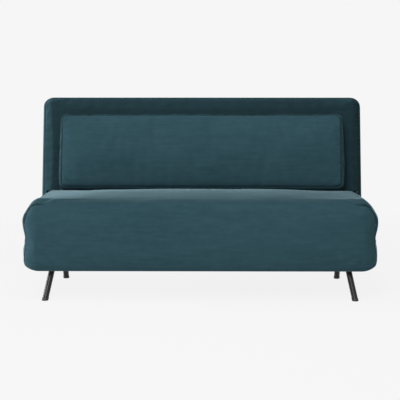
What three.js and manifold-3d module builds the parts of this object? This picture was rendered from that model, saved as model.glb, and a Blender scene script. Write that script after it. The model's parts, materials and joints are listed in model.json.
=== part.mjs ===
// An armless two-seat click clack sofa bed in millimetres, +Z up, its front towards -Y.
// The origin is on the floor under the middle of the sofa. The backrest lowers about the two click clack
// hinges behind the seat until it is level with the seat, and a folding stand then carries its far end.
import * as THREE from 'three';
import { mergeVertices } from 'three/addons/utils/BufferGeometryUtils.js';
import Module from 'manifold-3d';

const wasm = await Module();
wasm.setup();

// Clearances
const touchGap = 0.3; // between pieces that rest on each other
const cutOverrun = 12; // how far a cutting body runs past what it cuts

// Seat block
const seatHalfWidth = 704;
const seatFrontY = -434;
const seatDepth = 608;
const seatRearY = seatFrontY + seatDepth;
const seatBottomZ = 122;
const seatFrontTopZ = 411;
const seatRearTopZ = 393;
const seatEdge = { frontBottom: 42, frontTop: 84, rearTop: 52, rearBottom: 26 };
const seatCrown = { front: 9, top: 13, rear: 1 };
const seatEndRadius = 56;
const seatEndShares = { top: 1.35, bottom: 0.75 }; // the ends round off more above than below
const seatCoverThickness = 5;
const sideLobes = [
  { heightShare: 0.66, reachShare: 0.28, swell: 11 }, // the upper bulge of each side
  { heightShare: 0.28, reachShare: 0.2, swell: 8 }, // the lower one, below the drawn-in line
];

// Seat frame
const seatPadding = { side: 36, front: 32, rear: 12, bottom: 6 };
const railThickness = 22;
const railHeight = 122;
const seatFrame = {
  halfWidth: seatHalfWidth - seatPadding.side,
  frontY: seatFrontY + seatPadding.front,
  rearY: seatRearY - seatPadding.rear,
  bottomZ: seatBottomZ + seatPadding.bottom,
  topZ: seatBottomZ + seatPadding.bottom + railHeight,
};
const centreRailDrop = 34; // how far the centre rail stays below the side rails
const cornerBoard = { size: 140, thickness: 18, chamfer: 62 };
const dustCoverThickness = 1.2;

// Seat suspension
const spring = { count: 5, pitch: 230, wireRadius: 1.9, swing: 24, bends: 9, rise: 16 };
const springFacets = { perBend: 4, round: 4 };
const springClip = { width: 14, length: 20, thickness: 1.6, hookHeight: 8 };
const feltThickness = 4;

// Legs, each placed from its corner of the seat frame
const legRadius = 11;
const legWall = 1.6;
const legPlate = { size: 74, thickness: 3, cornerRadius: 8 };
const legInset = { side: 68.3, front: 53.2, rear: 52 };
const legRake = { front: { out: 26.3, along: 43.2 }, rear: { out: 0, along: 74 } };
const footCap = { rim: 1.2, height: 8, plugLength: 22 };
const plugStartShare = 0.8; // of the cap's height, where its plug grows out of the rim
const legBolt = { inset: 13, shankRadius: 3, headRadius: 6, headHeight: 2.6, length: 17 };

// Backrest slab. Its own frame has the hinge axis as origin, z up along the slab and -y out of its face.
const leanDegrees = 14;
const lean = THREE.MathUtils.degToRad(leanDegrees);
const flatDegrees = 90 - leanDegrees; // how far the backrest reclines until it is level
const backOverhang = 2; // how far the slab stands out past the seat block at each side
const backHalfWidth = seatHalfWidth + backOverhang;
const backThickness = 124;
const backTop = 469; // from the hinge axis to the top edge
const hingeToFace = 62; // from the hinge axis to the plane of the face
const creaseGap = 10; // between the seat block and the end of the slab
const backEdgeRadius = 40;
const backEndRadius = 34;
const backCrown = { face: 6, top: 4 };
const backCoverThickness = 4;
// With this heel the slab's end lies at the same distance from the seat upright and flat.
const backHeel = hingeToFace * Math.cos(lean) / (1 - Math.sin(lean));
const hingeY = seatRearY + creaseGap + backHeel;
const hingeZ = seatRearTopZ - hingeToFace;
const slabRearY = backThickness - hingeToFace;

// Click clack hinge, one at each end, in layers from the seat's side rail outwards
const cheek = { thickness: 3, hubRadius: 41, tailRadius: 25 };
const ratchetArm = { thickness: 5, rootRadius: 26, endRadius: 17, sideClearance: 0.5 };
const ratchet = { radius: 34, notchDepth: 6, notchClearance: 0.8, stops: [0, 28, flatDegrees] };
const pivot = { radius: 8, headRadius: 14, headHeight: 3 };
const stopStud = { radius: 4, distance: 22, angle: 66, clearance: 0.6 };
const pawl = { radius: 9, noseRadius: 3.4, distance: 57, angle: 188, noseAngle: 216, lift: 2.4 };
const pawlPin = { radius: 4, headRadius: 6.5, headHeight: 1.5 };
const pawlSpring = { distance: 72, angle: 212, wire: 1.6, eyeRadius: 5.5, studRadius: 3 };
const tail = { inset: 72, upperDrop: 28, lowerDrop: 78 }; // its two bolts, from the side rail's rear and top
const hingeBolt = { radius: 4, headRadius: 7, headHeight: 4.5, nutRadius: 8, nutHeight: 5 };
const hingeRoom = 2.7; // free room round the hinge in the foam
const hingeSlotDrop = 13; // from the hinge axis down to the top of its slot in the seat block
const stileClearance = 1;
const innerCheekX = [
  seatFrame.halfWidth + touchGap,
  seatFrame.halfWidth + touchGap + cheek.thickness,
];
const armX = [
  innerCheekX[1] + ratchetArm.sideClearance,
  innerCheekX[1] + ratchetArm.sideClearance + ratchetArm.thickness,
];
const outerCheekX = [
  armX[1] + ratchetArm.sideClearance,
  armX[1] + ratchetArm.sideClearance + cheek.thickness,
];

// Backrest frame
const slabFrameDepth = 40;
const slabFrame = {
  frontY: slabRearY - backCoverThickness - 3 * touchGap - slabFrameDepth,
  rearY: slabRearY - backCoverThickness - 3 * touchGap,
  topZ: backTop - backEdgeRadius,
  heelZ: backEdgeRadius - backHeel,
};
const stileWidth = 44;
const stileOuterX = innerCheekX[0] - touchGap - pivot.headHeight - stileClearance;
const stileInnerX = stileOuterX - stileWidth;
const hingeSlotX = [stileOuterX, outerCheekX[1] + hingeBolt.headHeight + hingeRoom];
const slabRail = { topHeight: 84, bottomHeight: 40, postWidth: 44 };
const packerZ = [54, 206]; // where each stile is thickened to carry its arm
const armScrew = { radius: 4, headRadius: 7, headHeight: 4.5, depth: 30, places: [100, 172] };
const supportCloth = { thickness: 1.5, inset: 4 };
const backPanel = { thickness: 4, sideInset: 67, topInset: 74, heelInset: 56, edgeGap: 1 };

// Folding stand behind the backrest
const stand = { sideInset: 146, pinZ: 368, pinOffset: 17, pinRadius: 3.5, tubeRadius: 10, tubeWall: 1.5 };
const standHalfWidth = backHalfWidth - stand.sideInset;
const standEndPastPin = 9;
const crossbarRise = 46;
const standCap = { wall: 1.5, height: 10, base: 3 };
const standBracket = { height: 52, thickness: 2.5, earPastPin: 9, sideClearance: 1, earTipHeight: 14 };
const standClip = { width: 30, height: 54, thickness: 2.5, prong: 3, slack: 0.6, lip: 4 };
const standScrew = { radius: 2, headRadius: 4, headHeight: 2, depth: 25, inset: 7 };
const panelOuterY = slabFrame.rearY + touchGap + backPanel.thickness;
const standPinY = panelOuterY + stand.pinOffset;
const standReach = hingeZ - standPinY; // the pin's height above the floor with the backrest flat

// Lumbar cushion, in the slab's frame
const cushion = { sideInset: 90, bottomZ: 26.7, topZ: 370, edgeDepth: 90, endRadius: 20, skin: 3 };
const cushionEdge = { frontBottom: 46, frontTop: 18, rearTop: 18, rearBottom: 18 };
const cushionCrown = { face: 19, top: 5, bottom: 2, rear: 2 };
const zip = { halfLength: 240, width: 7, thickness: 1.6, rearInset: 31, sink: 0.8 };

// Materials
const finish = (color, roughness, metalness = 0) => new THREE.MeshStandardMaterial(
  { color, roughness, metalness });
const velvet = finish(0x2f4a54, 0.92);
const foam = finish(0xd9cf9f, 0.95);
const filling = finish(0xeeeeea, 0.95);
const timber = finish(0xc8a878, 0.7);
const felt = finish(0x8b8b86, 0.98);
const blackCloth = finish(0x1d1d1f, 0.9);
const blackSteel = finish(0x26221f, 0.42, 0.6);
const zincSteel = finish(0xb5b8ba, 0.35, 0.9);
const springSteel = finish(0x55585a, 0.4, 0.9);
const blackPlastic = finish(0x121212, 0.55);

// Everything that hangs on the slab is modelled in the slab's frame, inside this turned group.
const sofa = new THREE.Group();
const backrest = new THREE.Group();
backrest.position.set(0, hingeY, hingeZ);
backrest.rotation.x = -lean;
sofa.add(backrest);

function addPiece(parent, name, geometry, material) {
  const mesh = new THREE.Mesh(geometry, material);
  mesh.name = name;
  parent.add(mesh);
}

// Solids for cutting and joining

function bareCopy(geometry) {
  const bare = geometry.clone();
  bare.deleteAttribute('normal');
  bare.deleteAttribute('uv');
  return bare;
}

function solidOf(geometry) {
  const merged = mergeVertices(bareCopy(geometry), 1e-4);
  return new wasm.Manifold(new wasm.Mesh({
    numProp: 3,
    vertProperties: merged.attributes.position.array,
    triVerts: new Uint32Array(merged.index.array),
  }));
}

function geometryOf(solid) {
  const { vertProperties, triVerts } = solid.getMesh();
  const geometry = new THREE.BufferGeometry();
  geometry.setAttribute('position', new THREE.BufferAttribute(Float32Array.from(vertProperties), 3));
  geometry.setIndex(Array.from(triVerts));
  geometry.computeVertexNormals();
  return geometry;
}

const cut = (geometry, cutters) => geometryOf(
  cutters.reduce((rest, cutter) => rest.subtract(solidOf(cutter)), solidOf(geometry)));

const join = (...geometries) => geometryOf(geometries.map(solidOf).reduce((whole, next) => whole.add(next)));

const common = (one, other) => geometryOf(solidOf(one).intersect(solidOf(other)));

function box(x, y, z) {
  const geometry = new THREE.BoxGeometry(x[1] - x[0], y[1] - y[0], z[1] - z[0]);
  return geometry.translate((x[0] + x[1]) / 2, (y[0] + y[1]) / 2, (z[0] + z[1]) / 2);
}

const sides = [[-1, 'left'], [1, 'right']];

// The same span on the right (side 1) or the left (side -1)
const mirrored = (side, [near, far]) => (side > 0 ? [near, far] : [-far, -near]);

const around = (centre, reach) => [centre - reach, centre + reach];

// An outline in the y-z plane, extruded along x
function plate(shape, x, curveSegments = 12) {
  const geometry = new THREE.ExtrudeGeometry(
    shape, { depth: x[1] - x[0], bevelEnabled: false, curveSegments });
  const acrossToYZ = new THREE.Matrix4().makeBasis(
    new THREE.Vector3(0, 1, 0), new THREE.Vector3(0, 0, 1), new THREE.Vector3(1, 0, 0));
  return geometry.applyMatrix4(acrossToYZ).translate(x[0], 0, 0);
}

const outline = (points) => new THREE.Shape(points.map(([y, z]) => new THREE.Vector2(y, z)));

// The outline round two discs, as a forged link has, extruded along x
function link([ay, az], ar, [by, bz], br, x, curveSegments = 8) {
  const along = Math.atan2(bz - az, by - ay);
  const tilt = Math.acos((ar - br) / Math.hypot(by - ay, bz - az));
  const shape = new THREE.Shape();
  shape.absarc(ay, az, ar, along + tilt, along - tilt + 2 * Math.PI, false);
  shape.absarc(by, bz, br, along - tilt, along + tilt, false);
  shape.closePath();
  return plate(shape, x, curveSegments);
}

// A round bar along x, and one that stands along z
function crossBar([y, z], radius, x, segments = 24) {
  const geometry = new THREE.CylinderGeometry(radius, radius, x[1] - x[0], segments);
  return geometry.rotateZ(-Math.PI / 2).translate((x[0] + x[1]) / 2, y, z);
}

function upright([x, y], radius, z, segments = 16) {
  const geometry = new THREE.CylinderGeometry(radius, radius, z[1] - z[0], segments);
  return geometry.rotateX(Math.PI / 2).translate(x, y, (z[0] + z[1]) / 2);
}

// A round bar between two points, run on past each of them
function bar(from, to, radius, { before = 0, after = 0, segments = 16 } = {}) {
  const direction = new THREE.Vector3().subVectors(to, from).normalize();
  const start = from.clone().addScaledVector(direction, -before);
  const end = to.clone().addScaledVector(direction, after);
  const geometry = new THREE.CylinderGeometry(radius, radius, start.distanceTo(end), segments);
  const turn = new THREE.Quaternion().setFromUnitVectors(new THREE.Vector3(0, 1, 0), direction);
  return geometry.applyQuaternion(turn).translate(...start.add(end).multiplyScalar(1 / 2).toArray());
}

function polar(distance, degrees) {
  const angle = THREE.MathUtils.degToRad(degrees);
  return [distance * Math.cos(angle), distance * Math.sin(angle)];
}

// A pin along x with a head outside each of its ends
function headedPin(place, radius, headRadius, headHeight, x, segments = 12) {
  return join(
    crossBar(place, radius, [x[0] - headHeight - touchGap, x[1] + headHeight + touchGap], segments),
    crossBar(place, headRadius, [x[0] - headHeight - touchGap, x[0] - touchGap], segments),
    crossBar(place, headRadius, [x[1] + touchGap, x[1] + headHeight + touchGap], segments),
  );
}

// Padded forms

const endCrownShare = 1 / 3; // how much of a side's crown is left where an end starts to round
const leastRadiusShare = 1 / 4; // of a corner's radius, which is left however far the outline is drawn in

// One outline of a padded form in the y-z plane: rounded corners, and sides that swell by their crown.
// It is drawn in by its inset, up and down by that times the corner's share, and by the room all round.
function padOutline({ corners, radii, endShares, crowns, cornerSteps, runSteps }, inset, room, crownShare) {
  const centre = new THREE.Vector2();
  corners.forEach(([y, z]) => centre.add(new THREE.Vector2(y, z).divideScalar(corners.length)));
  const moved = corners.map(([y, z], i) => new THREE.Vector2(
    y + Math.sign(centre.x - y) * (inset + room),
    z + Math.sign(centre.y - z) * (inset * endShares[i] + room)));
  const radiusAt = (i) => Math.max(radii[i] - inset - room, radii[i] * leastRadiusShare);
  const points = [];
  moved.forEach((corner, i) => {
    const next = (i + 1) % moved.length;
    const before = moved.at(i - 1).clone().sub(corner).normalize().multiplyScalar(radiusAt(i)).add(corner);
    const along = moved[next].clone().sub(corner).normalize();
    const after = along.clone().multiplyScalar(radiusAt(i)).add(corner);
    const runEnd = along.clone().multiplyScalar(-radiusAt(next)).add(moved[next]);
    points.push(...new THREE.QuadraticBezierCurve(before, corner, after).getPoints(cornerSteps));
    const outward = new THREE.Vector2(-along.y, along.x);
    for (let step = 1; step < runSteps; step += 1) {
      const share = step / runSteps;
      const swell = crowns[i] * crownShare * 4 * share * (1 - share);
      points.push(after.clone().lerp(runEnd, share).addScaledVector(outward, swell));
    }
  });
  return points;
}

// A padded form: its outline swept from side to side and rounded into both ends. Room is taken off all over.
function paddedForm(form, room = 0) {
  const { halfWidth, endRadius, endSteps, spanSteps, capInsetShares, sideSwell } = form;
  const reach = halfWidth - room;
  const radius = endRadius - room / 2;
  const straight = reach - radius;
  const end = capInsetShares.map((share) => (
    { x: reach, inset: endRadius * share, crownShare: 0, side: 1 }));
  for (let step = 0; step < endSteps; step += 1) {
    const angle = (step / endSteps) * Math.PI / 2;
    end.push({
      x: straight + radius * Math.cos(angle),
      inset: radius * (1 - Math.sin(angle)),
      crownShare: Math.sin(angle) * endCrownShare,
      side: 1 - step / endSteps,
    });
  }
  const span = Array.from({ length: spanSteps + 1 }, (_, step) => {
    const share = Math.cos((step / spanSteps) * Math.PI);
    return { x: straight * share, inset: 0, crownShare: 1 - (1 - endCrownShare) * share ** 2, side: 0 };
  });
  const otherEnd = end.map((ring) => ({ ...ring, x: -ring.x, side: -ring.side })).reverse();
  const rings = [...end, ...span, ...otherEnd];

  const outlines = rings.map((ring) => padOutline(form, ring.inset, room, ring.crownShare)
    .map((p) => new THREE.Vector3(ring.x + ring.side * sideSwell(p.y), p.x, p.y)));
  const count = outlines[0].length;
  const positions = outlines.flat().flatMap((p) => p.toArray());
  const index = [];
  for (let ring = 0; ring + 1 < outlines.length; ring += 1) {
    for (let i = 0; i < count; i += 1) {
      const [a, b] = [ring * count + i, ring * count + ((i + 1) % count)];
      index.push(a, b, a + count, b, b + count, a + count);
    }
  }
  [0, outlines.length - 1].forEach((ring) => {
    const middle = outlines[ring].reduce((sum, p) => sum.add(p), new THREE.Vector3()).divideScalar(count);
    const pole = positions.length / 3;
    positions.push(...middle.toArray());
    for (let i = 0; i < count; i += 1) {
      const edge = [ring * count + i, ring * count + ((i + 1) % count)];
      index.push(pole, ...(ring === 0 ? edge.reverse() : edge));
    }
  });
  const geometry = new THREE.BufferGeometry();
  geometry.setAttribute('position', new THREE.Float32BufferAttribute(positions, 3));
  geometry.setIndex(index);
  return geometry;
}

const rectangle = ([y0, y1], [z0, z1]) => [[y0, z0], [y0, z1], [y1, z1], [y1, z0]];

const seatForm = {
  corners: [
    [seatFrontY, seatBottomZ], [seatFrontY, seatFrontTopZ],
    [seatRearY, seatRearTopZ], [seatRearY, seatBottomZ],
  ],
  radii: [seatEdge.frontBottom, seatEdge.frontTop, seatEdge.rearTop, seatEdge.rearBottom],
  endShares: [seatEndShares.bottom, seatEndShares.top, seatEndShares.top, seatEndShares.bottom],
  crowns: [seatCrown.front, seatCrown.top, seatCrown.rear, 0],
  cornerSteps: 3,
  runSteps: 4,
  halfWidth: seatHalfWidth,
  endRadius: seatEndRadius,
  endSteps: 4,
  spanSteps: 6,
  capInsetShares: [2, 1.4],
  // The sides are drawn in along a line at half height and bulge above and below it.
  sideSwell: (z) => sideLobes.reduce((sum, lobe) => {
    const heightShare = (z - seatBottomZ) / (seatFrontTopZ - seatBottomZ);
    const away = Math.min(Math.abs(heightShare - lobe.heightShare) / lobe.reachShare, 1);
    return sum + lobe.swell * Math.cos(away * Math.PI / 2) ** 2;
  }, 0),
};
const seatInside = { ...seatForm, cornerSteps: 2, runSteps: 3, endSteps: 2, spanSteps: 2 };

const backForm = {
  corners: rectangle([-hingeToFace, slabRearY], [-backHeel, backTop]),
  radii: Array(4).fill(backEdgeRadius),
  endShares: Array(4).fill(1),
  crowns: [backCrown.face, backCrown.top, 0, 0],
  cornerSteps: 3,
  runSteps: 3,
  halfWidth: backHalfWidth,
  endRadius: backEndRadius,
  endSteps: 3,
  spanSteps: 6,
  capInsetShares: [1.3],
  sideSwell: () => 0,
};
const backInside = { ...backForm, cornerSteps: 2, runSteps: 2, endSteps: 2, spanSteps: 2 };

const cushionRearY = -hingeToFace - backCrown.face - touchGap - cushionCrown.rear;
const cushionForm = {
  corners: rectangle([cushionRearY - cushion.edgeDepth, cushionRearY], [cushion.bottomZ, cushion.topZ]),
  radii: [cushionEdge.frontBottom, cushionEdge.frontTop, cushionEdge.rearTop, cushionEdge.rearBottom],
  endShares: Array(4).fill(1),
  crowns: [cushionCrown.face, cushionCrown.top, cushionCrown.rear, cushionCrown.bottom],
  cornerSteps: 3,
  runSteps: 4,
  halfWidth: backHalfWidth - cushion.sideInset,
  endRadius: cushion.endRadius,
  endSteps: 3,
  spanSteps: 8,
  capInsetShares: [1.2],
  sideSwell: () => 0,
};
const cushionInside = { ...cushionForm, cornerSteps: 2, runSteps: 3, endSteps: 2, spanSteps: 4 };

// Seat

const boltedTail = [tail.upperDrop, tail.lowerDrop]
  .map((drop) => [seatFrame.rearY - tail.inset, seatFrame.topZ - drop]);

function makeSeatFrame() {
  const { halfWidth, frontY, rearY, bottomZ, topZ } = seatFrame;
  const across = [-halfWidth, halfWidth];
  const between = [frontY + railThickness + touchGap, rearY - railThickness - touchGap];
  const height = [bottomZ, topZ];
  addPiece(sofa, 'seat_front_rail', box(across, [frontY, frontY + railThickness], height), timber);
  addPiece(sofa, 'seat_rear_rail', box(across, [rearY - railThickness, rearY], height), timber);
  for (const [side, name] of sides) {
    const x = mirrored(side, [halfWidth - railThickness, halfWidth]);
    const drilled = mirrored(side, [halfWidth - railThickness - cutOverrun, halfWidth + cutOverrun]);
    const holes = boltedTail.map((place) => crossBar(place, hingeBolt.radius + touchGap, drilled, 8));
    addPiece(sofa, `seat_side_rail_${name}`, cut(box(x, between, height), holes), timber);
  }
  const centreX = around(0, railThickness / 2);
  addPiece(sofa, 'seat_centre_rail', box(centreX, between, [bottomZ, topZ - centreRailDrop]), timber);

  const sheetZ = [bottomZ - touchGap - dustCoverThickness, bottomZ - touchGap];
  const opening = cornerBoard.size + railThickness;
  const openings = [1, -1].flatMap((side) => {
    const x = mirrored(side, [halfWidth - opening, halfWidth + cutOverrun]);
    return [[frontY - cutOverrun, frontY + opening], [rearY - opening, rearY + cutOverrun]]
      .map((y) => box(x, y, around(bottomZ, cutOverrun)));
  });
  addPiece(sofa, 'dust_cover', cut(box(across, [frontY, rearY], sheetZ), openings), blackCloth);
}

const legs = ['front', 'rear'].flatMap((end) => sides.map(([side, sideName]) => {
  const edgeY = end === 'front' ? seatFrame.frontY : seatFrame.rearY;
  const outward = end === 'front' ? -1 : 1;
  const top = [side * (seatFrame.halfWidth - legInset.side), edgeY - outward * legInset[end]];
  const foot = [top[0] + side * legRake[end].out, top[1] + outward * legRake[end].along];
  return { name: `${end}_${sideName}`, side, outward, edgeY, top, foot };
}));

const plateTopZ = seatFrame.bottomZ - touchGap;
const legBoltPlaces = ({ top: [x, y] }) => [[-1, -1], [-1, 1], [1, -1], [1, 1]].map(([i, j]) => {
  const reach = legPlate.size / 2 - legBolt.inset;
  return [x + i * reach, y + j * reach];
});

function makeCornerBoards() {
  const { size, thickness, chamfer } = cornerBoard;
  for (const leg of legs) {
    const cornerX = leg.side * (seatFrame.halfWidth - railThickness - touchGap);
    const cornerY = leg.edgeY - leg.outward * (railThickness + touchGap);
    const shape = outline([[0, 0], [size, 0], [size, size - chamfer], [size - chamfer, size], [0, size]]
      .map(([along, inward]) => [cornerX - leg.side * along, cornerY - leg.outward * inward]));
    const board = new THREE.ExtrudeGeometry(shape, { depth: thickness, bevelEnabled: false });
    board.translate(0, 0, seatFrame.bottomZ);
    const drilled = [seatFrame.bottomZ - cutOverrun, seatFrame.bottomZ + thickness + cutOverrun];
    const holes = legBoltPlaces(leg)
      .map((place) => upright(place, legBolt.shankRadius + touchGap, drilled, 6));
    addPiece(sofa, `corner_board_${leg.name}`, cut(board, holes), timber);
  }
}

function roundedSquare(size, radius) {
  const reach = size / 2 - radius;
  const shape = new THREE.Shape();
  [[1, 1], [-1, 1], [-1, -1], [1, -1]].forEach(([i, j], quarter) => shape.absarc(
    i * reach, j * reach, radius, quarter * Math.PI / 2, (quarter + 1) * Math.PI / 2));
  return shape;
}

// Each leg is a raked tube welded under a plate, with its four bolts in place.
function makeLegs() {
  const plateZ = [plateTopZ - legPlate.thickness, plateTopZ];
  const half = legPlate.size / 2;
  for (const leg of legs) {
    const top = new THREE.Vector3(...leg.top, plateZ[0]);
    const foot = new THREE.Vector3(...leg.foot, 0);
    const flange = new THREE.ExtrudeGeometry(roundedSquare(legPlate.size, legPlate.cornerRadius),
      { depth: legPlate.thickness, bevelEnabled: false, curveSegments: 3 });
    flange.translate(...leg.top, plateZ[0]);
    const tubeZ = [footCap.height + touchGap, plateZ[1]];
    const [footX, footY] = leg.foot.map((place) => around(place, half));
    const [topX, topY] = leg.top.map((place) => around(place, half));
    const below = box(footX, footY, [-half, tubeZ[0]]);
    const above = box(topX, topY, [tubeZ[1], tubeZ[1] + half]);
    const tube = cut(
      bar(top, foot, legRadius, { before: legPlate.thickness, after: legRadius }), [below, above]);
    const bolts = legBoltPlaces(leg).flatMap((place) => [
      upright(place, legBolt.headRadius, [plateZ[0] - legBolt.headHeight, plateZ[0]], 6),
      upright(place, legBolt.shankRadius,
        [plateZ[0] - legBolt.headHeight / 2, plateZ[0] + legBolt.length], 6),
    ]);
    const bore = bar(top, foot, legRadius - legWall,
      { before: -legPlate.thickness, after: half, segments: 10 });
    addPiece(sofa, `leg_${leg.name}`, cut(join(flange, tube, ...bolts), [bore]), blackSteel);

    const capBar = bar(foot, top, legRadius + footCap.rim,
      { before: legRadius, after: footCap.height - half });
    const rim = common(capBar, box(footX, footY, [0, footCap.height]));
    const plug = bar(top, foot, legRadius - legWall - touchGap, {
      before: footCap.height + footCap.plugLength - top.distanceTo(foot),
      after: -footCap.height * plugStartShare,
      segments: 10,
    });
    addPiece(sofa, `foot_cap_${leg.name}`, join(rim, plug), blackPlastic);
  }
}

const springBaseZ = seatFrame.topZ + springClip.thickness + spring.wireRadius / 2;

// A no-sag spring: a wire bent from side to side, arched over the seat from the front rail to the rear one
class SinuousWire extends THREE.Curve {
  constructor(x) {
    super();
    this.x = x;
  }

  getPoint(t) {
    const startY = seatFrame.frontY + railThickness / 2;
    const endY = seatFrame.rearY - railThickness / 2;
    const swing = spring.swing * Math.sin(t * spring.bends * Math.PI);
    return new THREE.Vector3(this.x + swing, startY + (endY - startY) * t,
      springBaseZ + spring.rise * Math.sin(t * Math.PI));
  }
}

// Each spring is held at both ends by a clip: a strip on the rail whose hook stands behind the wire's end.
function springClipAt(x, end) {
  const stripZ = [seatFrame.topZ + touchGap, seatFrame.topZ + springClip.thickness];
  const hookTopZ = stripZ[0] + springClip.hookHeight;
  const railY = (end < 0 ? seatFrame.frontY : seatFrame.rearY) - end * railThickness / 2;
  const innerY = railY - end * springClip.length / 2;
  const hookY = railY + end * (spring.wireRadius / 2);
  const backY = hookY + end * springClip.thickness;
  const profile = outline([
    [innerY, stripZ[0]], [backY, stripZ[0]], [backY, hookTopZ],
    [hookY, hookTopZ], [hookY, stripZ[1]], [innerY, stripZ[1]],
  ]);
  return plate(profile, around(x, springClip.width / 2));
}

function makeSuspension() {
  const circle = new THREE.Path().absarc(0, 0, spring.wireRadius, 0, Math.PI * 2);
  const ring = circle.getPoints(springFacets.round);
  const section = new THREE.Shape(ring.slice(0, springFacets.round));
  const steps = spring.bends * springFacets.perBend;
  for (let i = 0; i < spring.count; i += 1) {
    const x = (i - (spring.count - 1) / 2) * spring.pitch;
    const wire = new THREE.ExtrudeGeometry(section, { steps, extrudePath: new SinuousWire(x) });
    addPiece(sofa, `seat_spring_${i + 1}`, join(wire, springClipAt(x, -1), springClipAt(x, 1)), springSteel);
  }
}

const feltZ = springBaseZ + spring.rise + spring.wireRadius + touchGap;
const seatCavityTopZ = feltZ + feltThickness + touchGap;

function makeSeatUpholstery() {
  const { halfWidth, frontY, rearY } = seatFrame;
  const padX = around(0, halfWidth - railThickness / 2);
  const padY = [frontY + railThickness / 2, rearY - railThickness / 2];
  addPiece(sofa, 'seat_felt_pad', box(padX, padY, [feltZ, feltZ + feltThickness]), felt);

  const cavity = box(around(0, halfWidth + touchGap), [frontY - touchGap, rearY + touchGap],
    [seatBottomZ - cutOverrun, seatCavityTopZ]);
  const slotY = [boltedTail[0][0] - cheek.tailRadius - hingeRoom, seatRearY + cutOverrun];
  const slotZ = [seatBottomZ - cutOverrun, hingeZ - hingeSlotDrop];
  const slots = sides.map(([side]) => box(mirrored(side, hingeSlotX), slotY, slotZ));
  addPiece(sofa, 'seat_foam',
    cut(paddedForm(seatInside, seatCoverThickness + touchGap), [cavity, ...slots]), foam);
  const inside = paddedForm(seatInside, seatCoverThickness);
  addPiece(sofa, 'seat_cover', cut(paddedForm(seatForm), [inside, cavity, ...slots]), velvet);
}

// Click clack hinge. Its fixed plates are modelled round the hinge axis, in the seat's directions.

const pawlPlace = polar(pawl.distance, pawl.angle);
const engagedNose = polar(
  ratchet.radius - ratchet.notchDepth + ratchet.notchClearance + pawl.noseRadius, pawl.noseAngle);
const pawlLength = Math.hypot(engagedNose[0] - pawlPlace[0], engagedNose[1] - pawlPlace[1]);

// The angle at the pawl's pin, from the hinge axis to the nose when the nose is this far from the axis
function noseAngleAt(noseDistance) {
  const squares = pawl.distance ** 2 + pawlLength ** 2 - noseDistance ** 2;
  return THREE.MathUtils.radToDeg(Math.acos(squares / (2 * pawl.distance * pawlLength)));
}

const engagedAngle = noseAngleAt(Math.hypot(...engagedNose));
const parkedAngle = noseAngleAt(ratchet.radius + pawl.noseRadius + pawl.lift);

// The pawl's nose when it has swung this share of its travel from parked to engaged
function noseAt(travelShare) {
  const turned = parkedAngle + (engagedAngle - parkedAngle) * travelShare;
  const [y, z] = polar(pawlLength, pawl.angle - 180 - turned);
  return [pawlPlace[0] + y, pawlPlace[1] + z];
}

const hingeAxis = new THREE.Group();
hingeAxis.position.set(0, hingeY, hingeZ);
sofa.add(hingeAxis);
const tailPlaces = boltedTail.map(([y, z]) => [y - hingeY, z - hingeZ]);
const springStud = polar(pawlSpring.distance, pawlSpring.angle);
const throughHinge = (side) => mirrored(side, [innerCheekX[0] - cutOverrun, outerCheekX[1] + cutOverrun]);

const cheekBlank = (x) => join(link([0, 0], cheek.hubRadius, tailPlaces[0], cheek.tailRadius, x, 8),
  link(tailPlaces[0], cheek.tailRadius, tailPlaces[1], cheek.tailRadius, x, 5));

const cheekHoles = (side) => [
  crossBar([0, 0], pivot.radius + touchGap, throughHinge(side), 12),
  plate(studSlot(), throughHinge(side), 5),
];

// The arm's stop stud runs in this curved slot, whose ends stop the backrest upright and flat.
function studSlot() {
  const reach = stopStud.radius + stopStud.clearance;
  const margin = reach / stopStud.distance;
  const [from, to] = [stopStud.angle - flatDegrees, stopStud.angle].map(THREE.MathUtils.degToRad);
  const slot = new THREE.Shape();
  slot.absarc(0, 0, stopStud.distance + reach, from - margin, to + margin, false);
  slot.absarc(0, 0, stopStud.distance - reach, to + margin, from - margin, true);
  slot.closePath();
  return slot;
}

// The inner cheek carries the spacer and the riveted pins of the pawl and its spring.
function makeInnerCheek(side, name) {
  const spacerX = mirrored(side, [innerCheekX[0], outerCheekX[0] - touchGap]);
  const pinX = mirrored(side, [innerCheekX[0] - pawlPin.headHeight, outerCheekX[1] + pawlPin.headHeight]);
  const pinHeadX = mirrored(side, [innerCheekX[0] - pawlPin.headHeight, innerCheekX[0]]);
  const riveted = join(cheekBlank(mirrored(side, innerCheekX)),
    link(tailPlaces[0], cheek.tailRadius, tailPlaces[1], cheek.tailRadius, spacerX, 5),
    crossBar(pawlPlace, pawlPin.radius, pinX, 8), crossBar(pawlPlace, pawlPin.headRadius, pinHeadX, 8),
    crossBar(springStud, pawlSpring.studRadius, pinX, 8));
  addPiece(hingeAxis, `hinge_inner_cheek_${name}`, cut(riveted, [
    ...cheekHoles(side),
    ...tailPlaces.map((place) => crossBar(place, hingeBolt.radius + touchGap, throughHinge(side), 8)),
  ]), blackSteel);
}

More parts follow.
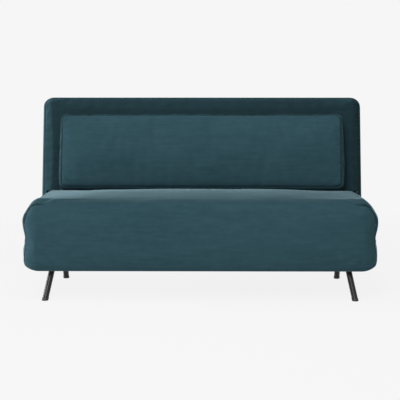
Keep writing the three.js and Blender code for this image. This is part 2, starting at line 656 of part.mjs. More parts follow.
// The outer cheek carries the bolts, which run through both cheeks and the side rail to their nuts.
function makeOuterCheek(side, name) {
  const railInnerX = seatFrame.halfWidth - railThickness;
  const nutX = [railInnerX - touchGap - hingeBolt.nutHeight, railInnerX - touchGap];
  const headX = [outerCheekX[1], outerCheekX[1] + hingeBolt.headHeight];
  const shankX = [nutX[0] - hingeBolt.nutHeight / 2, headX[0] + hingeBolt.headHeight / 2];
  const plain = cut(cheekBlank(mirrored(side, outerCheekX)), [
    ...cheekHoles(side),
    crossBar(pawlPlace, pawlPin.radius + touchGap, throughHinge(side), 8),
    crossBar(springStud, pawlSpring.studRadius + touchGap, throughHinge(side), 8),
  ]);
  const bolts = tailPlaces.flatMap((place) => [
    crossBar(place, hingeBolt.radius, mirrored(side, shankX), 8),
    crossBar(place, hingeBolt.nutRadius, mirrored(side, nutX), 6),
    crossBar(place, hingeBolt.headRadius, mirrored(side, headX), 8),
  ]);
  addPiece(hingeAxis, `hinge_outer_cheek_${name}`, join(plain, ...bolts), blackSteel);
}

function makePivotAndPawl(side, name) {
  const pinSpan = mirrored(side, [innerCheekX[0], outerCheekX[1]]);
  addPiece(hingeAxis, `hinge_pivot_${name}`,
    headedPin([0, 0], pivot.radius, pivot.headRadius, pivot.headHeight, pinSpan), zincSteel);
  const blank = link(pawlPlace, pawl.radius, noseAt(0), pawl.noseRadius, mirrored(side, armX), 6);
  const hole = crossBar(pawlPlace, pawlPin.radius + touchGap, throughHinge(side), 8);
  addPiece(hingeAxis, `pawl_${name}`, cut(blank, [hole]), zincSteel);
}

// The spring is a strip from an eye on its stud to the underside of the parked nose.
function makePawlSpring(side, name) {
  const nose = noseAt(0);
  const toNose = Math.atan2(nose[1] - pawlPlace[1], nose[0] - pawlPlace[0]);
  const taper = Math.asin((pawl.radius - pawl.noseRadius) / pawlLength);
  const underNose = toNose - Math.PI / 2 + taper;
  const tipReach = pawl.noseRadius + touchGap + pawlSpring.wire / 2;
  const tip = [nose[0] + tipReach * Math.cos(underNose), nose[1] + tipReach * Math.sin(underNose)];
  const x = mirrored(side, armX);
  const eye = crossBar(springStud, pawlSpring.eyeRadius, x, 10);
  const strip = link(springStud, pawlSpring.wire / 2, tip, pawlSpring.wire / 2, x, 3);
  const eyeHole = crossBar(springStud, pawlSpring.studRadius + touchGap, throughHinge(side), 8);
  addPiece(hingeAxis, `pawl_spring_${name}`, cut(join(eye, strip), [eyeHole]), springSteel);
}

// Backrest, in the slab's frame

const armY = (slabFrame.frontY + slabFrame.rearY) / 2;
const armPlaces = armScrew.places.map((z) => [armY, z]);

// The arm with its notched disc, its stop stud and the screws that hold it to the stile
function makeRatchetArm(side, name) {
  const x = mirrored(side, armX);
  const studPlace = polar(stopStud.distance, stopStud.angle + leanDegrees);
  const blank = join(
    crossBar([0, 0], ratchet.radius, x, 30),
    link([0, 0], ratchetArm.rootRadius, armPlaces[0], ratchetArm.endRadius, x, 6),
    link(armPlaces[0], ratchetArm.endRadius, armPlaces[1], ratchetArm.endRadius, x, 6),
    crossBar(studPlace, stopStud.radius, mirrored(side, [innerCheekX[0], outerCheekX[1]]), 10),
    ...armPlaces.flatMap((place) => [
      crossBar(place, armScrew.radius, mirrored(side, [armX[1] - armScrew.depth, armX[1]]), 8),
      crossBar(place, armScrew.headRadius, mirrored(side, [armX[1], armX[1] + armScrew.headHeight]), 6),
    ]),
  );
  // Each notch is the room that the pawl needs as it swings in at that position.
  const notches = ratchet.stops.flatMap((reclined) => [1 / 2, 1].map((travelShare) => {
    const room = link(pawlPlace, pawl.radius + ratchet.notchClearance, noseAt(travelShare),
      pawl.noseRadius + ratchet.notchClearance, throughHinge(side), 4);
    return room.rotateX(THREE.MathUtils.degToRad(leanDegrees + reclined));
  }));
  const pivotHole = crossBar([0, 0], pivot.radius + touchGap, throughHinge(side), 12);
  addPiece(backrest, `ratchet_arm_${name}`, cut(blank, [pivotHole, ...notches]), blackSteel);
}

const standScrewPlaces = sides.flatMap(([side]) => [-1, 1].map((end) => [
  side * standHalfWidth, stand.pinZ + end * (standBracket.height / 2 - standScrew.inset),
]));
const crossbarZ = stand.pinZ - standReach + crossbarRise;
const clipScrewPlaces = [-1, 1].map((end) => [
  0, crossbarZ + end * (standClip.height / 2 - standScrew.inset),
]);

// Holes along y for the screws of the stand's brackets and clip
function standScrewHoles(places, y) {
  return places.map(([x, z]) => new THREE.CylinderGeometry(
    standScrew.radius + touchGap, standScrew.radius + touchGap, y[1] - y[0], 6)
    .translate(x, (y[0] + y[1]) / 2, z));
}

const screwTipY = panelOuterY + touchGap + standBracket.thickness - standScrew.depth;
const screwHoleY = [screwTipY - touchGap, panelOuterY + cutOverrun];

function makeBackFrame() {
  const { frontY, rearY, topZ, heelZ } = slabFrame;
  const depth = [frontY, rearY];
  for (const [side, name] of sides) {
    const stile = join(box(mirrored(side, [stileInnerX, stileOuterX]), depth, [heelZ, topZ]),
      box(mirrored(side, [stileInnerX, armX[0] - touchGap]), depth, packerZ));
    const drilled = mirrored(side, [armX[1] - armScrew.depth - touchGap, armX[1] + cutOverrun]);
    const holes = armPlaces.map((place) => crossBar(place, armScrew.radius + touchGap, drilled, 8));
    addPiece(backrest, `back_stile_${name}`, cut(stile, holes), timber);
  }
  const railX = around(0, stileInnerX - touchGap);
  const railZ = { top: [topZ - slabRail.topHeight, topZ], bottom: [heelZ, heelZ + slabRail.bottomHeight] };
  addPiece(backrest, 'back_top_rail',
    cut(box(railX, depth, railZ.top), standScrewHoles(standScrewPlaces, screwHoleY)), timber);
  addPiece(backrest, 'back_bottom_rail', box(railX, depth, railZ.bottom), timber);
  const post = box(around(0, slabRail.postWidth / 2), depth,
    [railZ.bottom[1] + touchGap, railZ.top[0] - touchGap]);
  addPiece(backrest, 'back_centre_post', cut(post, standScrewHoles(clipScrewPlaces, screwHoleY)), timber);

  addPiece(backrest, 'back_support_cloth', box(around(0, stileOuterX - supportCloth.inset),
    [frontY - touchGap - supportCloth.thickness, frontY - touchGap],
    [heelZ + supportCloth.inset, topZ - supportCloth.inset]), blackCloth);
}

function makeBackUpholstery() {
  const { frontY, topZ, heelZ } = slabFrame;
  const open = [frontY - 2 * touchGap - supportCloth.thickness, slabRearY + cutOverrun];
  const frameRoom = box(around(0, stileOuterX + touchGap), open, [heelZ - touchGap, topZ + touchGap]);
  const slots = sides.map(([side]) => box(mirrored(side, hingeSlotX),
    [-hingeToFace - cutOverrun, slabRearY + cutOverrun],
    [-backHeel - cutOverrun, cheek.hubRadius + hingeRoom]));
  const armRoom = sides.map(([side]) => box(mirrored(side, [stileOuterX - touchGap, hingeSlotX[1]]),
    [-ratchetArm.rootRadius - hingeRoom, slabRearY + cutOverrun],
    [cheek.hubRadius, packerZ[1] + hingeRoom]));
  addPiece(backrest, 'back_foam', cut(paddedForm(backInside, backCoverThickness + touchGap),
    [frameRoom, ...slots, ...armRoom]), foam);

  const panelX = around(0, backHalfWidth - backPanel.sideInset);
  const panelZ = [backPanel.heelInset - backHeel, backTop - backPanel.topInset];
  const opening = box([panelX[0] - backPanel.edgeGap, panelX[1] + backPanel.edgeGap],
    [slabRearY - backCoverThickness * 2, slabRearY + cutOverrun],
    [panelZ[0] - backPanel.edgeGap, panelZ[1] + backPanel.edgeGap]);
  const inside = paddedForm(backInside, backCoverThickness);
  addPiece(backrest, 'back_cover', cut(paddedForm(backForm), [inside, opening, ...slots]), velvet);

  const panel = box(panelX, [slabFrame.rearY + touchGap, panelOuterY], panelZ);
  addPiece(backrest, 'back_panel',
    cut(panel, standScrewHoles([...standScrewPlaces, ...clipScrewPlaces], screwHoleY)), blackCloth);
}

// A screw along y from the outer face of what it holds, with its head over that face
function standScrewAt([x, z], faceY) {
  const rod = (radius, [low, high]) => new THREE.CylinderGeometry(radius, radius, high - low, 6)
    .translate(x, (low + high) / 2, z);
  return [
    rod(standScrew.radius, [screwTipY, faceY]),
    rod(standScrew.headRadius, [faceY, faceY + standScrew.headHeight]),
  ];
}

// A U of plate screwed to the top rail, with the pin that the stand's leg turns on
function makeStandBracket(x, name) {
  const baseY = [panelOuterY + touchGap, panelOuterY + touchGap + standBracket.thickness];
  const bracketZ = around(stand.pinZ, standBracket.height / 2);
  const earTipY = standPinY + standBracket.earPastPin;
  const earRootY = baseY[1] + standBracket.earTipHeight / 2;
  const earTipZ = around(stand.pinZ, standBracket.earTipHeight / 2);
  const ear = outline([
    [baseY[0], bracketZ[0]], [earRootY, bracketZ[0]], [earTipY, earTipZ[0]],
    [earTipY, earTipZ[1]], [earRootY, bracketZ[1]], [baseY[0], bracketZ[1]],
  ]);
  const earReach = stand.tubeRadius + standBracket.sideClearance;
  const outerReach = earReach + standBracket.thickness;
  const pinPlace = [standPinY, stand.pinZ];
  const headReach = outerReach + stand.pinRadius;
  const screws = [-1, 1].flatMap((end) => standScrewAt(
    [x, stand.pinZ + end * (standBracket.height / 2 - standScrew.inset)], baseY[1]));
  addPiece(backrest, `stand_bracket_${name}`, join(
    box(around(x, outerReach), baseY, bracketZ),
    plate(ear, [x + earReach, x + outerReach]),
    plate(ear, [x - outerReach, x - earReach]),
    crossBar(pinPlace, stand.pinRadius, around(x, headReach), 8),
    crossBar(pinPlace, stand.pinRadius * 2, [x + outerReach, x + headReach], 8),
    crossBar(pinPlace, stand.pinRadius * 2, [x - headReach, x - outerReach], 8),
    ...screws,
  ), blackSteel);
}

function makeStand() {
  const footZ = stand.pinZ - standReach;
  const capRadius = stand.tubeRadius + touchGap;
  for (const [side, name] of sides) {
    const x = side * standHalfWidth;
    makeStandBracket(x, name);
    const tubeZ = [footZ + standCap.base + touchGap, stand.pinZ + standEndPastPin];
    const bore = upright([x, standPinY], stand.tubeRadius - stand.tubeWall,
      [tubeZ[0] - cutOverrun, tubeZ[1] + cutOverrun], 10);
    const pinHole = crossBar([standPinY, stand.pinZ], stand.pinRadius + touchGap,
      around(x, stand.tubeRadius + cutOverrun), 8);
    addPiece(backrest, `stand_leg_${name}`,
      cut(upright([x, standPinY], stand.tubeRadius, tubeZ), [bore, pinHole]), blackSteel);
    const cupZ = [footZ + standCap.base, footZ + standCap.height + cutOverrun];
    addPiece(backrest, `stand_cap_${name}`, cut(
      upright([x, standPinY], capRadius + standCap.wall, [footZ, footZ + standCap.height]),
      [upright([x, standPinY], capRadius, cupZ)]), blackPlastic);
  }

  const barX = around(0, standHalfWidth - stand.tubeRadius - touchGap);
  const boreX = [barX[0] - cutOverrun, barX[1] + cutOverrun];
  const place = [standPinY, crossbarZ];
  addPiece(backrest, 'stand_crossbar', cut(crossBar(place, stand.tubeRadius, barX, 16),
    [crossBar(place, stand.tubeRadius - stand.tubeWall, boreX, 12)]), blackSteel);
}

// The folded stand's crossbar lies between the prongs of this clip.
function makeStandClip() {
  const baseY = [panelOuterY + touchGap, panelOuterY + touchGap + standClip.thickness];
  const half = standClip.height / 2;
  const prongInner = stand.tubeRadius + standClip.slack;
  const prongOuter = prongInner + standClip.prong;
  const lipY = standPinY + standClip.lip;
  const lower = [
    [baseY[0], -half], [baseY[1], -half], [baseY[1], -prongOuter],
    [lipY, -prongOuter], [lipY, -prongInner], [baseY[1], -prongInner],
  ];
  const upper = lower.map(([y, z]) => [y, -z]).reverse();
  const profile = outline([...lower, ...upper].map(([y, z]) => [y, z + crossbarZ]));
  const screws = clipScrewPlaces.flatMap((place) => standScrewAt(place, baseY[1]));
  addPiece(backrest, 'stand_clip',
    join(plate(profile, around(0, standClip.width / 2)), ...screws), blackPlastic);
}

function makeCushion() {
  const inside = paddedForm(cushionInside, cushion.skin);
  const zipY = around(cushionRearY - zip.rearInset, zip.width / 2);
  const zipTopZ = cushion.bottomZ - cushionCrown.bottom + zip.sink + zip.thickness;
  const mouth = box([-zip.halfLength - touchGap, zip.halfLength + touchGap],
    [zipY[0] - touchGap, zipY[1] + touchGap], around(cushion.bottomZ, cutOverrun));
  addPiece(backrest, 'cushion_cover', cut(paddedForm(cushionForm), [inside, mouth]), velvet);
  addPiece(backrest, 'cushion_filling', paddedForm(cushionInside, cushion.skin + touchGap), filling);
  addPiece(backrest, 'cushion_zip', box(around(0, zip.halfLength), zipY, [zipTopZ - zip.thickness, zipTopZ]),
    blackCloth);
}

makeSeatFrame();
makeCornerBoards();
makeLegs();
makeSuspension();
makeSeatUpholstery();
for (const [side, name] of sides) {
  makeInnerCheek(side, name);
  makeOuterCheek(side, name);
  makePivotAndPawl(side, name);
  makePawlSpring(side, name);
  makeRatchetArm(side, name);
}
makeBackFrame();
makeBackUpholstery();
makeStand();
makeStandClip();
makeCushion();

export default sofa;
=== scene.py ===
import json
import math

import bmesh
import bpy
from mathutils import Matrix, Vector, kdtree, noise
from mathutils.bvhtree import BVHTree


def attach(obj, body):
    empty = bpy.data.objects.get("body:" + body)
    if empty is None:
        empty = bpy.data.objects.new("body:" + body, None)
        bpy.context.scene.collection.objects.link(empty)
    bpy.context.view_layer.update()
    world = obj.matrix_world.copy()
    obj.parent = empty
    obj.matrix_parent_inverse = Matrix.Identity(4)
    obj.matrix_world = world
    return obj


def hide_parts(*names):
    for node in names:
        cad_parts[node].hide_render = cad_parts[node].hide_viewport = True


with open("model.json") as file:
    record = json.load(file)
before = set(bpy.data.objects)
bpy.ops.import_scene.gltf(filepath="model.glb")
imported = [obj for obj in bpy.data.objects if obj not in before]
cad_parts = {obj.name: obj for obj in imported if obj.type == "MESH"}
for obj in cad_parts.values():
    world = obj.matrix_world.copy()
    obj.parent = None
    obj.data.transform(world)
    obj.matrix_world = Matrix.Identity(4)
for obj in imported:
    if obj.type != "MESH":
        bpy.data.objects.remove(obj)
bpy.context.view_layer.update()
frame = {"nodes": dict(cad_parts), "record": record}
scene = bpy.context.scene
bpy.ops.object.select_all(action="DESELECT")
print("frame loaded:", len(frame["nodes"]), "nodes")

# ---- camera, light and stage

view = {"place": (0.062, -6.02, 0.99), "lens": 127.2, "pitch": 5.9, "yaw": 0.63, "reach": 60}
bpy.ops.object.camera_add(
    location=view["place"],
    rotation=(math.radians(90 - view["pitch"]), 0, math.radians(view["yaw"])),
)
scene.camera = bpy.context.object
scene.camera.data.lens = view["lens"]
scene.camera.data.clip_end = view["reach"]
scene.view_settings.view_transform = "Standard"


class Sock:
    # A node socket that Python's own operators can be used on
    def __init__(self, tree, out):
        self.tree, self.out = tree, out

    def math(self, operation, *values):
        return self.node("ShaderNodeMath", {"operation": operation}, *values)

    def node(self, kind, settings, *values, out=0, **named):
        # Settings come first, then the values or links of the sockets, in order or by name.
        made = self.tree.nodes.new(kind)
        for key, value in settings.items():
            setattr(made, key, value)
        for index, value in [*enumerate(values), *named.items()]:
            name = index if isinstance(index, int) else index.replace("_", " ")
            self.put(made.inputs[name], value)
        return Sock(self.tree, made.outputs[out])

    def put(self, socket, value):
        if isinstance(value, Sock):
            self.tree.links.new(value.out, socket)
        else:
            socket.default_value = value

    def __add__(self, other):
        return self.math("ADD", self, other)

    def __mul__(self, other):
        return self.math("MULTIPLY", self, other)

    def __pow__(self, other):
        return self.math("POWER", self, other)

    def __rsub__(self, other):
        return self.math("SUBTRACT", other, self)

    __radd__ = __add__
    __rmul__ = __mul__


def newMaterial(name, **plain):
    # A material with its shader's plain values set, and a Sock on its Object coordinates
    material = bpy.data.materials.new(name)
    material.use_nodes = True
    tree = material.node_tree
    shader = tree.nodes["Principled BSDF"]
    for key, value in plain.items():
        shader.inputs[key.replace("_", " ")].default_value = value
    coordinates = tree.nodes.new("ShaderNodeTexCoord")
    return material, shader, Sock(tree, coordinates.outputs["Object"])


def stretched(place, scale):
    return place.node("ShaderNodeMapping", {}, Vector=place, Scale=scale)


def cloudy(place, scale, detail=3, roughness=0.5, distortion=0):
    return place.node("ShaderNodeTexNoise", {}, Vector=place, Scale=scale, Detail=detail,
                      Roughness=roughness, Distortion=distortion)


def ramp(value, low, high):
    # 0 below low, 1 above high
    return value.node("ShaderNodeMapRange", {}, value, low, high)


def tinted(factor, dark, light):
    made = factor.node("ShaderNodeMix", {"data_type": "RGBA"}, factor, out=2)
    mix = made.out.node
    for socket, colour in ((mix.inputs[6], dark), (mix.inputs[7], light)):
        made.put(socket, colour if isinstance(colour, Sock) else (*colour, 1))
    return made


def bumped(height, strength, distance, below=None):
    named = {"Height": height, "Strength": strength, "Distance": distance}
    if below:
        named["Normal"] = below
    return height.node("ShaderNodeBump", {}, **named)


def dress(shader, colour, roughness, normal):
    for name, value in (("Base Color", colour), ("Roughness", roughness), ("Normal", normal)):
        value.put(shader.inputs[name], value)


velvetLook = {
    "dark": (0.016, 0.043, 0.054),
    "light": (0.03, 0.068, 0.084),
    "paintedShadeShare": 0.3,  # painted shade: how light the cloth is left in a seam's groove and on faces turned from the light
    "sheenRoughness": 0.34,
    "sheenTint": (0.62, 0.9, 1.0, 1),
    "paintedLightRamp": (0.02, 0.85, 1.8),  # painted light: the facing at which a face starts to be painted lighter and is lightest, and how late
    "turned": (0.3, 1.1),  # painted shade: how far turned from the light a face starts to be painted darker and is darkest
}


def makeVelvet(name, lightness, sheen, paintedLightGain):
    # One cloth in copies that differ in lightness and sheen; the darker copies are painted shade. Faces turned to
    # the light are painted lighter (painted light), and seam grooves and faces turned from it darker (painted
    # shade).
    material, shader, place = newMaterial(
        name, Sheen_Weight=sheen, Sheen_Roughness=velvetLook["sheenRoughness"],
        Sheen_Tint=velvetLook["sheenTint"], Specular_IOR_Level=0.03,
    )
    strokes = cloudy(stretched(place, (9, 75, 90)), 1, 4, 0.6)  # the pile lies in faint streaks along the sofa
    patches = cloudy(stretched(place, (2.2, 6, 7)), 1, 2)
    brushed = cloudy(stretched(place, (26, 34, 38)), 1, 3, 0.65)
    pile = cloudy(place, 1400, 2, 0.7)
    lie = (ramp(strokes, 0.34, 0.68) * 0.3 + ramp(patches, 0.3, 0.7) * 0.25 + ramp(brushed, 0.3, 0.7) * 0.25
           + pile * 0.2)
    dark, light = ([part * lightness for part in velvetLook[end]] for end in ("dark", "light"))
    # Painted shade in the seams' grooves and low down on the cushion
    paintedShade = place.node("ShaderNodeAttribute", {"attribute_name": "paintedShade"}, out="Fac")
    paintedDark = [part * velvetLook["paintedShadeShare"] for part in dark]
    # Painted light and shade by which way each face is turned
    nap = place.node("ShaderNodeAttribute", {"attribute_name": "nap"}, out="Fac")
    start, full, lateness = velvetLook["paintedLightRamp"]
    paintedLightRamp = ramp(nap, start, full) ** lateness
    lit = tinted(paintedLightRamp, tinted(lie, dark, light), [part * paintedLightGain for part in light])
    colour = tinted(paintedShade.math("MAXIMUM", paintedShade, ramp(nap * -1, *velvetLook["turned"])), lit, paintedDark)
    fine = bumped(pile, 0.35, 0.0006)
    dress(shader, colour, lie * -0.12 + 0.95, bumped(strokes + brushed, 0.12, 0.0012, fine))
    return material


def makeFoam(name, dark, light, cell):
    material, shader, place = newMaterial(name, Specular_IOR_Level=0.2)
    cells = place.node("ShaderNodeTexVoronoi", {"feature": "SMOOTH_F1"}, Vector=place, Scale=cell)
    shade = cells * 0.6 + cloudy(place, 30) * 0.4
    dress(shader, tinted(shade, dark, light), shade * 0.08 + 0.88, bumped(cells, 0.6, 0.002))
    return material


def makeTimber(name, dark, light):
    material, shader, place = newMaterial(name, Specular_IOR_Level=0.35)
    bent = cloudy(stretched(place, (1.3, 14, 22)), 1, 3)
    rings = place.node("ShaderNodeTexWave", {"bands_direction": "Z"}, Vector=stretched(place, (0.8, 7, 16)),
                       Scale=2.2, Distortion=7, Detail=3)
    pores = cloudy(stretched(place, (40, 700, 900)), 1, 2)
    grain = rings * 0.45 + bent * 0.35 + pores * 0.2
    dress(shader, tinted(grain, dark, light), grain * 0.2 + 0.55,
          bumped(pores * 0.7 + rings * 0.3, 0.3, 0.0008))
    return material


def makeFibre(name, dark, light, scale):
    material, shader, place = newMaterial(name, Sheen_Weight=0.2, Specular_IOR_Level=0.15)
    lint = cloudy(place, scale, 5, 0.75, 1.5)
    dress(shader, tinted(ramp(lint, 0.3, 0.7), dark, light), lint * 0.1 + 0.85, bumped(lint, 0.6, 0.0012))
    return material


def makeBlackCloth():
    # Non-woven cloth with its pattern of small pressed points
    material, shader, place = newMaterial("black cloth", Specular_IOR_Level=0.2)
    points = place.node("ShaderNodeTexVoronoi", {"feature": "F1"}, Vector=place, Scale=420, Randomness=0.1)
    fibres = cloudy(place, 900, 4, 0.7)
    shade = ramp(points, 0.1, 0.5) * 0.5 + fibres * 0.5
    dress(shader, tinted(shade, (0.006, 0.006, 0.007), (0.022, 0.022, 0.024)), fibres * 0.15 + 0.78,
          bumped(shade, 0.5, 0.0005))
    return material


def makeCoatedSteel():
    material, shader, place = newMaterial("dark coated steel", Specular_IOR_Level=0.28)
    peel = cloudy(place, 900, 2, 0.5)
    rubbed = cloudy(place, 24, 4, 0.6)
    dress(shader, tinted(rubbed, (0.006, 0.005, 0.005), (0.013, 0.011, 0.0105)),
          rubbed * 0.12 + 0.28, bumped(peel, 0.1, 0.0004))
    return material


def makeBareSteel(name, dark, light, roughness):
    material, shader, place = newMaterial(name, Metallic=1.0)
    spangle = cloudy(place, 120, 4, 0.6)
    lines = cloudy(stretched(place, (30, 900, 900)), 1, 2)
    dress(shader, tinted(spangle, dark, light), spangle * 0.2 + roughness, bumped(lines, 0.12, 0.0003))
    return material


def makePlastic():
    material, shader, place = newMaterial("black plastic", Specular_IOR_Level=0.4)
    grain = cloudy(place, 1500, 2, 0.6)
    dress(shader, tinted(cloudy(place, 40), (0.005, 0.005, 0.005), (0.012, 0.012, 0.012)),
          grain * 0.1 + 0.45, bumped(grain, 0.3, 0.0003))
    return material


finishes = {
    "velvet": makeVelvet("velvet", 1, 0.31, 1.5),
    # A darker copy of the same velvet: painted shade on the backrest
    "velvetShaded": makeVelvet("velvet against the nap", 0.5, 0.45, 2.3),
    "velvetCushion": makeVelvet("velvet of the cushion", 1.05, 0.12, 1.4),
    # A darker copy with little sheen: painted shade on the raised seam lines
    "velvetSeamPaintedDark": makeVelvet("velvet seam", 0.5, 0.05, 1.5),
    "foam": makeFoam("foam", (0.5, 0.42, 0.2), (0.76, 0.7, 0.46), 520),
    "filling": makeFibre("polyester fibre", (0.62, 0.62, 0.6), (0.9, 0.9, 0.88), 260),
    "timber": makeTimber("timber", (0.36, 0.2, 0.08), (0.64, 0.44, 0.23)),
    "timberStained": makeTimber("black stained timber", (0.006, 0.005, 0.005), (0.018, 0.015, 0.013)),
    "felt": makeFibre("needled felt", (0.1, 0.1, 0.1), (0.42, 0.4, 0.38), 420),
    "black_cloth": makeBlackCloth(),
    "black_steel": makeCoatedSteel(),
    "zinc_steel": makeBareSteel("bright zinc", (0.36, 0.38, 0.4), (0.6, 0.62, 0.65), 0.26),
    "spring_steel": makeBareSteel("oiled spring steel", (0.05, 0.055, 0.06), (0.14, 0.15, 0.16), 0.34),
    "black_plastic": makePlastic(),
}
# Dark timber, because it shows beside the hinges
stainedTimber = ("back_stile", "seat_side_rail", "seat_rear_rail", "corner_board_rear")
for row in frame["record"]["subparts"]:
    stained = row["node"].startswith(stainedTimber)
    materials = frame["nodes"][row["node"]].data.materials
    materials.clear()
    materials.append(finishes["timberStained" if stained else row["material_slot"]])
print("finishes:", len(finishes))

studio = {
    "floorSize": 60,
    "floorColour": (0.8, 0.8, 0.8, 1),
    "backgroundGrey": 0.921,
    "shadowShare": 0.06,  # how much of the floor's own shading the camera sees beside the sofa
    "shadowReach": (1.2, 3.2),  # the floor fades into the background between these distances
    "sky": 0.23,
}


def cameraSees(tree):
    # 1 where the camera, a reflection or a clear surface looks, 0 for the light that falls on the sofa
    rays = tree.nodes.new("ShaderNodeLightPath")
    camera, glossy, through = (Sock(tree, rays.outputs["Is %s Ray" % name])
                               for name in ("Camera", "Glossy", "Transmission"))
    seen = camera + glossy + through
    return seen.math("MINIMUM", seen, 1)


def makeStage():
    world = bpy.data.worlds.new("studio")
    scene.world = world
    world.use_nodes = True
    tree = world.node_tree
    background = tree.nodes["Background"]
    grey, sky = studio["backgroundGrey"], studio["sky"]
    background.inputs["Color"].default_value = (1, 1, 1, 1)
    strength = cameraSees(tree) * (grey - sky) + sky
    strength.put(background.inputs["Strength"], strength)

    bpy.ops.mesh.primitive_plane_add(size=studio["floorSize"])
    floor = bpy.context.object
    floor.name = "studioFloor"
    material, shader, place = newMaterial("pale floor", Base_Color=studio["floorColour"], Roughness=1)
    tree = material.node_tree
    glow = place.node("ShaderNodeEmission", {}, (grey, grey, grey, 1))
    away = place.node("ShaderNodeVectorMath", {"operation": "LENGTH"}, place, out="Value")
    near, far = studio["shadowReach"]
    shaded = ramp(away, far, near) * studio["shadowShare"]
    lit = Sock(tree, shader.outputs[0])
    surface = place.node("ShaderNodeMixShader", {}, cameraSees(tree) * (1 - shaded), lit, glow)
    surface.put(tree.nodes["Material Output"].inputs["Surface"], surface)
    floor.data.materials.append(material)


lampAim = (0, 0, 0.4)
lamps = {
    "key": {"place": (-1.3, -5.0, 3.5), "size": 2.2, "power": 216},
    "top": {"place": (0.3, -2.3, 4.1), "size": 2.0, "power": 86},
    "left": {"place": (-4.6, 0.1, 0.78), "size": 0.9, "power": 150},
}


def makeLamps():
    for name, lamp in lamps.items():
        aim = Vector(lampAim) - Vector(lamp["place"])
        bpy.ops.object.light_add(type="AREA", location=lamp["place"],
                                 rotation=aim.to_track_quat("-Z", "Y").to_euler())
        light = bpy.context.object
        light.name = name + "Lamp"
        light.data.size = lamp["size"]
        light.data.energy = lamp["power"]


makeStage()
makeLamps()
print("stage and lamps made")

# ---- padded forms

lean = math.radians(14)
hingeAt = (0, 0.26335638, 0.331)
slabToSofa = Matrix.Translation(hingeAt) @ Matrix.Rotation(-lean, 4, "X")
leastRadiusShare = 1 / 4
pathSpacing = 0.003  # between the points of a seam


def padOutline(form, inset, crownShare):
    # One outline of a padded form, as (y, z) points
    corners = [Vector(corner) for corner in form["corners"]]
    middle = sum(corners, Vector((0, 0))) / len(corners)
    room = form["room"]
    moved = [Vector((c.x + math.copysign(inset * form["depthShare"] + room, middle.x - c.x),
                     c.y + math.copysign(inset * share + room, middle.y - c.y)))
             for c, share in zip(corners, form.get("insetShares", (1, 1, 1, 1)))]
    radii = [max(r - inset - room, r * leastRadiusShare) for r in form["radii"]]
    points = []
    for i, corner in enumerate(moved):
        following = (i + 1) % len(moved)
        back = (moved[i - 1] - corner).normalized()
        along = (moved[following] - corner).normalized()
        before, after = corner + back * radii[i], corner + along * radii[i]
        runEnd = moved[following] - along * radii[following]
        steps = form["cornerSteps"]
        for step in range(steps + 1):
            t = step / steps
            points.append(before * (1 - t) ** 2 + corner * (2 * t * (1 - t)) + after * t ** 2)
        outward = Vector((-along.y, along.x))
        run = form["runSteps"][i]
        for step in range(1, run):
            share = step / run
            swell = form["crowns"][i] * crownShare * 4 * share * (1 - share)
            points.append(after.lerp(runEnd, share) + outward * swell)
    return points


def padRings(form):
    # (x, inset, share of the crown, share of the side's swell) of each outline from the left end to the right
    radius, reach = form["endRadius"], form["halfWidth"] - form["room"]
    endCrownShare, fall = form["endCrown"]
    straight = reach - radius
    end = [(reach, inset, 0, 1) for inset in form["capInsets"]]
    steps = form["endSteps"]
    for step in range(steps):
        angle = step / steps * math.pi / 2
        end.append((straight + radius * math.cos(angle), radius * (1 - math.sin(angle)),
                    math.sin(angle) * endCrownShare, 1 - step / steps))
    span = [(straight * share, 0, 1 - (1 - endCrownShare) * abs(share) ** fall, 0) for share in form["spanShares"]]
    left = [(-x, inset, crown, -side) for x, inset, crown, side in end]
    return left + span + end[::-1]


def spanShares(count, ease=0.75):
    # Places from -1 to 1, closer together near both ends
    even = [step / count * 2 - 1 for step in range(count + 1)]
    return [t * (1 - ease) + math.sin(t * math.pi / 2) * ease for t in even]


def makePadded(name, form):
    # A cylinder lying along x, cut into rings and moved onto the outlines
    rings, swell = padRings(form), form.get("sideSwell", lambda z: 0)
    outlines = [[Vector((x + side * swell(p.y), p.x, p.y)) for p in padOutline(form, inset, crown)]
                for x, inset, crown, side in rings]
    count = len(outlines[0])
    bpy.ops.object.select_all(action="DESELECT")
    bpy.ops.mesh.primitive_cylinder_add(vertices=count, radius=1, depth=2, end_fill_type="NOTHING",
                                        rotation=(0, math.pi / 2, 0))
    piece = bpy.context.object
    bpy.ops.object.transform_apply(location=False, rotation=True, scale=False)
    bpy.ops.object.mode_set(mode="EDIT")
    bpy.ops.mesh.select_mode(type="EDGE")
    bpy.ops.mesh.select_all(action="DESELECT")
    mesh = bmesh.from_edit_mesh(piece.data)
    for edge in mesh.edges:
        edge.select_set(abs(edge.verts[0].co.x - edge.verts[1].co.x) > 1)
    bpy.ops.mesh.subdivide(number_cuts=len(rings) - 2)
    bpy.ops.mesh.select_mode(type="VERT")
    bpy.ops.object.mode_set(mode="OBJECT")
    for vertex in piece.data.vertices:
        ring = round((vertex.co.x + 1) / 2 * (len(rings) - 1))
        turn = round(math.atan2(vertex.co.y, vertex.co.z) / (2 * math.pi) * count + 0.25) % count
        vertex.co = outlines[ring][turn]
    bpy.ops.object.mode_set(mode="EDIT")
    for side in (-1, 1):
        bpy.ops.mesh.select_all(action="DESELECT")
        mesh = bmesh.from_edit_mesh(piece.data)
        for edge in mesh.edges:
            edge.select_set(edge.is_boundary and edge.verts[0].co.x * side > 0)
        bpy.ops.mesh.fill_grid(span=form["capSpan"], use_interp_simple=True)
    bpy.ops.object.mode_set(mode="OBJECT")
    turnedOut(piece)
    piece.name = piece.data.name = name
    return piece


def useOnly(piece):
    bpy.ops.object.select_all(action="DESELECT")
    piece.select_set(True)
    bpy.context.view_layer.objects.active = piece


